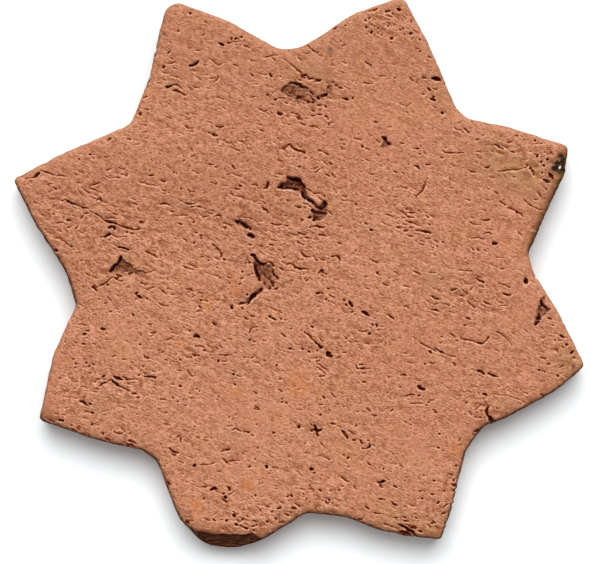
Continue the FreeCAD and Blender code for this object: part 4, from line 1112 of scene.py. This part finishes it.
# The arris has a dark line of painted shade and a wider painted shade on the sides away from the light,
# and a painted highlight on the sides that face it.
LINE_START = 2.05                   # above 1, so that the line is dark all through at the outline
LINE_WIDTH = 0.48                   # mm
LINE_SIDES = (0.6, 1.3)             # how the line thins out on sides that face the light
SHADE_WIDTH = 2.4                   # mm
LIGHT_MIDDLE = 0.5                  # mm in from the outline
LIGHT_WIDTH = 1.4                   # square mm
LIGHT_SIDES = 1.3
WAVER = 0.12                        # mm that these lines waver
from_edge = np.clip(inset, 0, EDGE_REACH) + WAVER * lumps(1.2, 1.2)
shaded_edge = np.clip(LINE_SIDES[0] - LINE_SIDES[1] * facing_up, 0, 1)
light_line = np.exp(-(from_edge - LIGHT_MIDDLE) ** 2 / LIGHT_WIDTH)
store("rim_shade_line", np.clip(LINE_START - from_edge / LINE_WIDTH, 0, 1) * shaded_edge)
store("rim_shade", np.exp(-from_edge / SHADE_WIDTH) * np.clip(-facing_up, 0, 1))
store("rim_highlight", light_line * np.clip(facing_up * LIGHT_SIDES, 0, 1))

# The stains and grains that are listed above.
store("veil", brush(BROWN_VEILS))
store("side_shade", brush(SHADED_SIDES))
store("olive", brush(OLIVE_VEILS))
store("ochre", brush(OCHRE_BLOTCHES))
store("soot", brush(SOOT_MARKS))
store("stain_and_shade", brush(BROWN_STAINS_AND_SHADE))
store("arris_shadow", brush(SHADED_ARRIS))
store("grit", brush(GRIT))
store("pebbles", brush(PEBBLES))
store("white_grain", brush(WHITE_GRAIN))


class Shade:
    """A value in a material. Sums and products on it add Math nodes to the tree."""

    tree = None

    def __init__(self, socket):
        self.socket = socket

    @classmethod
    def node(cls, kind, settings=None, sockets=None, out=0):
        """Adds a node: its settings, then the values or links of its sockets."""
        made = cls.tree.nodes.new(kind)
        for name, value in (settings or {}).items():
            setattr(made, name, value)
        for name, value in (sockets or {}).items():
            if isinstance(value, Shade):
                cls.tree.links.new(value.socket, made.inputs[name])
            else:
                made.inputs[name].default_value = value
        return cls(made.outputs[out] if made.outputs else None)

    def maths(self, operation, first, second, clamp=False):
        """One step of arithmetic on two values, held between 0 and 1 if clamp says so."""
        settings = {"operation": operation, "use_clamp": clamp}
        return self.node("ShaderNodeMath", settings, {0: first, 1: second})

    def __add__(self, other):
        return self.maths("ADD", self, other)

    __radd__ = __add__

    def __sub__(self, other):
        return self.maths("SUBTRACT", self, other)

    def __rsub__(self, other):
        return self.maths("SUBTRACT", other, self)

    def __mul__(self, other):
        return self.maths("MULTIPLY", self, other)

    __rmul__ = __mul__

    def __abs__(self):
        return self.maths("ABSOLUTE", self, 0.0)

    def over(self, start, end):
        """How far the value has got from start to end, held between 0 and 1."""
        return self.maths("MULTIPLY", self - start, 1 / (end - start), clamp=True)

    def tint(self, colour, share):
        """This colour, turned towards another one by a share."""
        return self.node("ShaderNodeMix", {"data_type": "RGBA"}, {0: share, 6: self, 7: colour}, out=2)


def rgb(red, green, blue):
    """A colour as it shows in the photo, 0 to 255, as the renderer's own numbers."""
    values = []
    for value in (red, green, blue):
        value = value / 255
        values.append(value / 12.92 if value <= 0.04045 else ((value + 0.055) / 1.055) ** 2.4)
    return (*values, 1)


clay_material = bpy.data.materials.new("fired_red_clay")
clay_material.use_nodes = True
Shade.tree = clay_material.node_tree
Shade.tree.nodes.clear()
clay_place = Shade.node("ShaderNodeTexCoord", out=3)


def stretched(turn, length):
    """Places on the clay, turned by an angle and drawn out to some times their length."""
    sockets = {0: clay_place, 2: (0, 0, turn), 3: (length, 1, 1)}
    return Shade.node("ShaderNodeMapping", {"vector_type": "TEXTURE"}, sockets)


def grain(size, at=clay_place, detail=2.0, roughness=0.55):
    """Noise with features this many millimetres wide, about 0 to 1."""
    sockets = {"Vector": at, "Scale": 1 / (size * MM), "Detail": detail, "Roughness": roughness}
    return Shade.node("ShaderNodeTexNoise", {"normalize": True}, sockets)


def kept(name):
    """A value that was stored with the points of the clay."""
    return Shade.node("ShaderNodeAttribute", {"attribute_name": name}, out=2)


# The grain of the clay, in millimetres. Most of it is drawn out as the roller dragged it.
along_grain = stretched(GRAIN - VIEW_TURN, 3.2)
layer_lines = grain(0.6, stretched(-VIEW_TURN, 5), 3.0)
broad = grain(38)
patchy = grain(9, detail=3.0)
streaks = grain(1.5, along_grain, 3.0)
specks = grain(0.36, along_grain, 2.0)
crumbs = grain(0.30, detail=1.0)
drag_grain = grain(0.9, along_grain, 2.0)
bits = grain(0.7, detail=3.0)
coarse = 0.75 + 0.6 * kept("rough")
drag_lines = abs(drag_grain - 0.5).over(0.045, 0.0) * grain(1.7).over(0.46, 0.6) * coarse
ragged = 1.0 + 1.4 * (specks - 0.5) + 1.0 * (crumbs - 0.5) + 2.2 * (grain(1.3) - 0.5)
# Soil and painted shade in the grooves, the hollows darkened with dirt and painted shade, and torn lips
# painted bright as highlights.
pit_soil_and_shade = kept("soil_and_shade") * ragged
deep = kept("in_hollow").over(0.28, 1.08)
crumbly = kept("in_hollow").over(0.1, 0.5)
torn_lip_highlights = kept("torn_lips").over(0.40, 0.95) * grain(1.2).over(0.35, 0.6)

# The fired clay itself, in broad patches, streaks, drag lines and specks.
clay_shades = {0: broad.over(0.42, 0.66), 6: rgb(217, 147, 111), 7: rgb(210, 138, 103)}
colour = Shade.node("ShaderNodeMix", {"data_type": "RGBA"}, clay_shades, out=2)
colour = colour.tint(rgb(208, 146, 111), patchy.over(0.52, 0.72) * 0.5)
colour = colour.tint(rgb(183, 113, 80), patchy.over(0.48, 0.30) * 0.25)
colour = colour.tint(rgb(200, 142, 94), grain(16).over(0.54, 0.70) * 0.4)
colour = colour.tint(rgb(214, 140, 117), grain(12).over(0.54, 0.70) * 0.4)
colour = colour.tint(rgb(220, 158, 124), streaks.over(0.54, 0.72) * 0.45)
colour = colour.tint(rgb(142, 76, 40), streaks.over(0.46, 0.28) * 0.45)
colour = colour.tint(rgb(122, 52, 12), drag_lines * 0.7)
colour = colour.tint(rgb(116, 46, 8), specks.over(0.49, 0.28) * coarse)
colour = colour.tint(rgb(255, 192, 156), specks.over(0.54, 0.70) * coarse * 0.8)
colour = colour.tint(rgb(116, 46, 8), crumbs.over(0.46, 0.26) * 0.5)
colour = colour.tint(rgb(242, 178, 141), crumbs.over(0.54, 0.74) * 0.5)

# Painted highlight and painted shade along the arris, painted shade over the upper part of the face and
# where the arris turns from the light, some of it among the brown stains, and what the fire, smoke and use
# left in wide patches.
colour = colour.tint(rgb(240, 184, 150), kept("rim_highlight") * 0.25)
colour = colour.tint(rgb(130, 76, 46), kept("rim_shade") * 0.58)
colour = colour.tint(rgb(172, 110, 80), kept("side_shade") * 0.25)
colour = colour.tint(rgb(180, 134, 88), kept("olive") * patchy.over(0.3, 0.55) * 0.5)
colour = colour.tint(rgb(208, 126, 68), kept("ochre").over(0.05, 0.8) * patchy.over(0.3, 0.55) * 0.62)
colour = colour.tint(rgb(150, 128, 96), kept("grit") * 0.55)
colour = colour.tint(rgb(150, 94, 62), kept("veil") * patchy.over(0.3, 0.6) * 0.15)
colour = colour.tint(rgb(138, 82, 50), kept("stain_and_shade") * 0.5)
colour = colour.tint(rgb(104, 64, 34), kept("arris_shadow") * ragged * 0.75)

# Dips darker and humps paler than the clay round them, the hollows darkened with dirt and painted shade,
# their crumbly floors, lips painted pale as highlights, soil and painted shade in the pits, and torn lips
# painted bright as highlights.
colour = colour.tint(rgb(142, 70, 28), kept("low") * ragged * 0.7)
colour = colour.tint(rgb(230, 166, 131), kept("high") * ragged * 0.55)
colour = colour.tint(rgb(88, 34, 8), deep * ragged * 0.95)
colour = colour.tint(rgb(64, 26, 6), crumbly * bits.over(0.49, 0.36) * 0.7)
colour = colour.tint(rgb(206, 142, 112), crumbly * bits.over(0.53, 0.66) * 0.55)
colour = colour.tint(rgb(248, 186, 153), kept("pale").over(0.1, 0.85) * ragged * 0.85)
colour = colour.tint(rgb(142, 66, 22), pit_soil_and_shade.over(0.04, 0.30) * (1 - deep))
colour = colour.tint(rgb(86, 24, 0), pit_soil_and_shade.over(0.28, 0.58))
colour = colour.tint(rgb(38, 4, 0), pit_soil_and_shade.over(0.54, 0.90))
colour = colour.tint(rgb(255, 206, 180), torn_lip_highlights * 0.8)

# The break, darkened partly as its own colour and partly as painted shade, the layers that show in it, the
# painted shadow under its upper edge, and the dark line of painted shade along the arris.
colour = colour.tint(rgb(84, 38, 16), kept("broken") * 0.95)
colour = colour.tint(rgb(150, 92, 62), kept("broken") * layer_lines.over(0.51, 0.62) * 0.8)
colour = colour.tint(rgb(24, 4, 0), kept("broken") * layer_lines.over(0.49, 0.38) * 0.9)
colour = colour.tint(rgb(30, 6, 0), kept("shadow_under_break") * ragged * 0.9)
colour = colour.tint(rgb(66, 32, 14), kept("rim_shade_line") * ragged * 0.84)

# Soot, small pebbles in the clay, and one white grain.
colour = colour.tint(rgb(92, 74, 44), kept("soot").over(0.05, 0.7) * ragged * 0.8)
colour = colour.tint(rgb(30, 22, 10), kept("soot").over(0.4, 0.85) * ragged * 0.9)
colour = colour.tint(rgb(106, 84, 74), kept("pebbles").over(0.2, 0.7) * ragged * 0.85)
colour = colour.tint(rgb(255, 255, 252), kept("white_grain").over(0.35, 0.55))

# Dry clay with hardly any gloss. The finest grain, too fine for the skin, is a bump in its light.
FINE_DEPTH = 0.28                   # mm
fine = specks * 0.8 + crumbs * 0.3 + drag_grain * 0.7 + streaks * 0.7 - drag_lines * 0.3
bump = Shade.node("ShaderNodeBump", {}, {"Strength": 1.0, "Distance": FINE_DEPTH * MM, "Height": fine})
clay_surface = {
    "Base Color": colour,
    "Roughness": 0.86 + 0.1 * specks,
    "Normal": bump,
    "Specular IOR Level": 0.1,
}
clay_shader = Shade.node("ShaderNodeBsdfPrincipled", {}, clay_surface)
Shade.node("ShaderNodeOutputMaterial", {}, {"Surface": clay_shader})
clay.materials.clear()
clay.materials.append(clay_material)

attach(tile, "root")
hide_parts("star_tile")

# Floor, light and camera
# A plain white floor under an even studio light: a wide soft lamp from beyond the top of the picture
# and a pale surround. The camera looks straight down on the face.

FLOOR_HALF = 1.5                    # m
LAMP_HEIGHT = math.radians(60)      # above the floor
LAMP_SPREAD = math.radians(44)
SURROUND = 0.32                     # share of the light that comes from all round
FLOOR_BOUNCE = 0.2                  # grey of the floor for the light that it throws back
FLOOR_SEEN = (1.14, 1.19, 1.21, 1)  # and as the camera sees it, just above white
LENS = 200.0                        # mm
SENSOR = 36.0                       # mm
FRAME_WIDTH = 196.67                # mm seen across, level with the upper edge of the tile
FRAME_CENTRE = (-3.5, -1.07)        # mm to the right and up of the star's centre
EDGE_HEIGHT = 13.8                  # mm above the floor, the edge that fills that width

floor_mesh = bpy.data.meshes.new("floor")
floor_corners = [(-FLOOR_HALF, -FLOOR_HALF, 0), (FLOOR_HALF, -FLOOR_HALF, 0)]
floor_corners += [(FLOOR_HALF, FLOOR_HALF, 0), (-FLOOR_HALF, FLOOR_HALF, 0)]
floor_mesh.from_pydata(floor_corners, [], [(0, 1, 2, 3)])
floor = bpy.data.objects.new("floor", floor_mesh)
bpy.context.scene.collection.objects.link(floor)
floor_material = bpy.data.materials.new("white_floor")
floor_material.use_nodes = True
Shade.tree = floor_material.node_tree
Shade.tree.nodes.clear()


def in_sight():
    """1 where the camera sees a thing itself, in a gloss or through glass, 0 where it only lights."""
    kinds = ("Camera", "Glossy", "Transmission")
    ways = [Shade.node("ShaderNodeLightPath", out=f"Is {kind} Ray") for kind in kinds]
    return ways[0] + ways[1] + ways[2]


floor_greys = {0: in_sight(), 6: (FLOOR_BOUNCE,) * 3 + (1,), 7: FLOOR_SEEN}
floor_white = Shade.node("ShaderNodeMix", {"data_type": "RGBA"}, floor_greys, out=2)
floor_shader = Shade.node("ShaderNodeBsdfDiffuse", {}, {"Color": floor_white})
Shade.node("ShaderNodeOutputMaterial", {}, {"Surface": floor_shader})
floor_mesh.materials.append(floor_material)

lamp_data = bpy.data.lights.new("window_light", "SUN")
lamp_data.energy = math.pi * (1 - SURROUND) / math.sin(LAMP_HEIGHT)
lamp_data.angle = LAMP_SPREAD
lamp = bpy.data.objects.new("window_light", lamp_data)
lamp_from = Vector((*(UPWARD * math.cos(LAMP_HEIGHT)), math.sin(LAMP_HEIGHT)))
lamp.rotation_euler = lamp_from.to_track_quat("Z", "Y").to_euler()
bpy.context.scene.collection.objects.link(lamp)

world = bpy.data.worlds.new("studio")
world.use_nodes = True
Shade.tree = world.node_tree
Shade.tree.nodes.clear()
strength = SURROUND + (1 - SURROUND) * in_sight()
sky = Shade.node("ShaderNodeBackground", {}, {"Color": (1, 1, 1, 1), "Strength": strength})
Shade.node("ShaderNodeOutputWorld", {}, {"Surface": sky})
bpy.context.scene.world = world

camera_data = bpy.data.cameras.new("camera")
camera_data.lens = LENS
camera_data.sensor_width = SENSOR
camera = bpy.data.objects.new("camera", camera_data)
camera_x, camera_y = on_the_tile(*FRAME_CENTRE)
camera_z = EDGE_HEIGHT + FRAME_WIDTH * LENS / SENSOR
camera.location = Vector((camera_x, camera_y, camera_z)) * MM
camera.rotation_euler = (0, 0, -VIEW_TURN)
bpy.context.scene.collection.objects.link(camera)
bpy.context.scene.camera = camera
bpy.context.scene.view_settings.view_transform = "Standard"
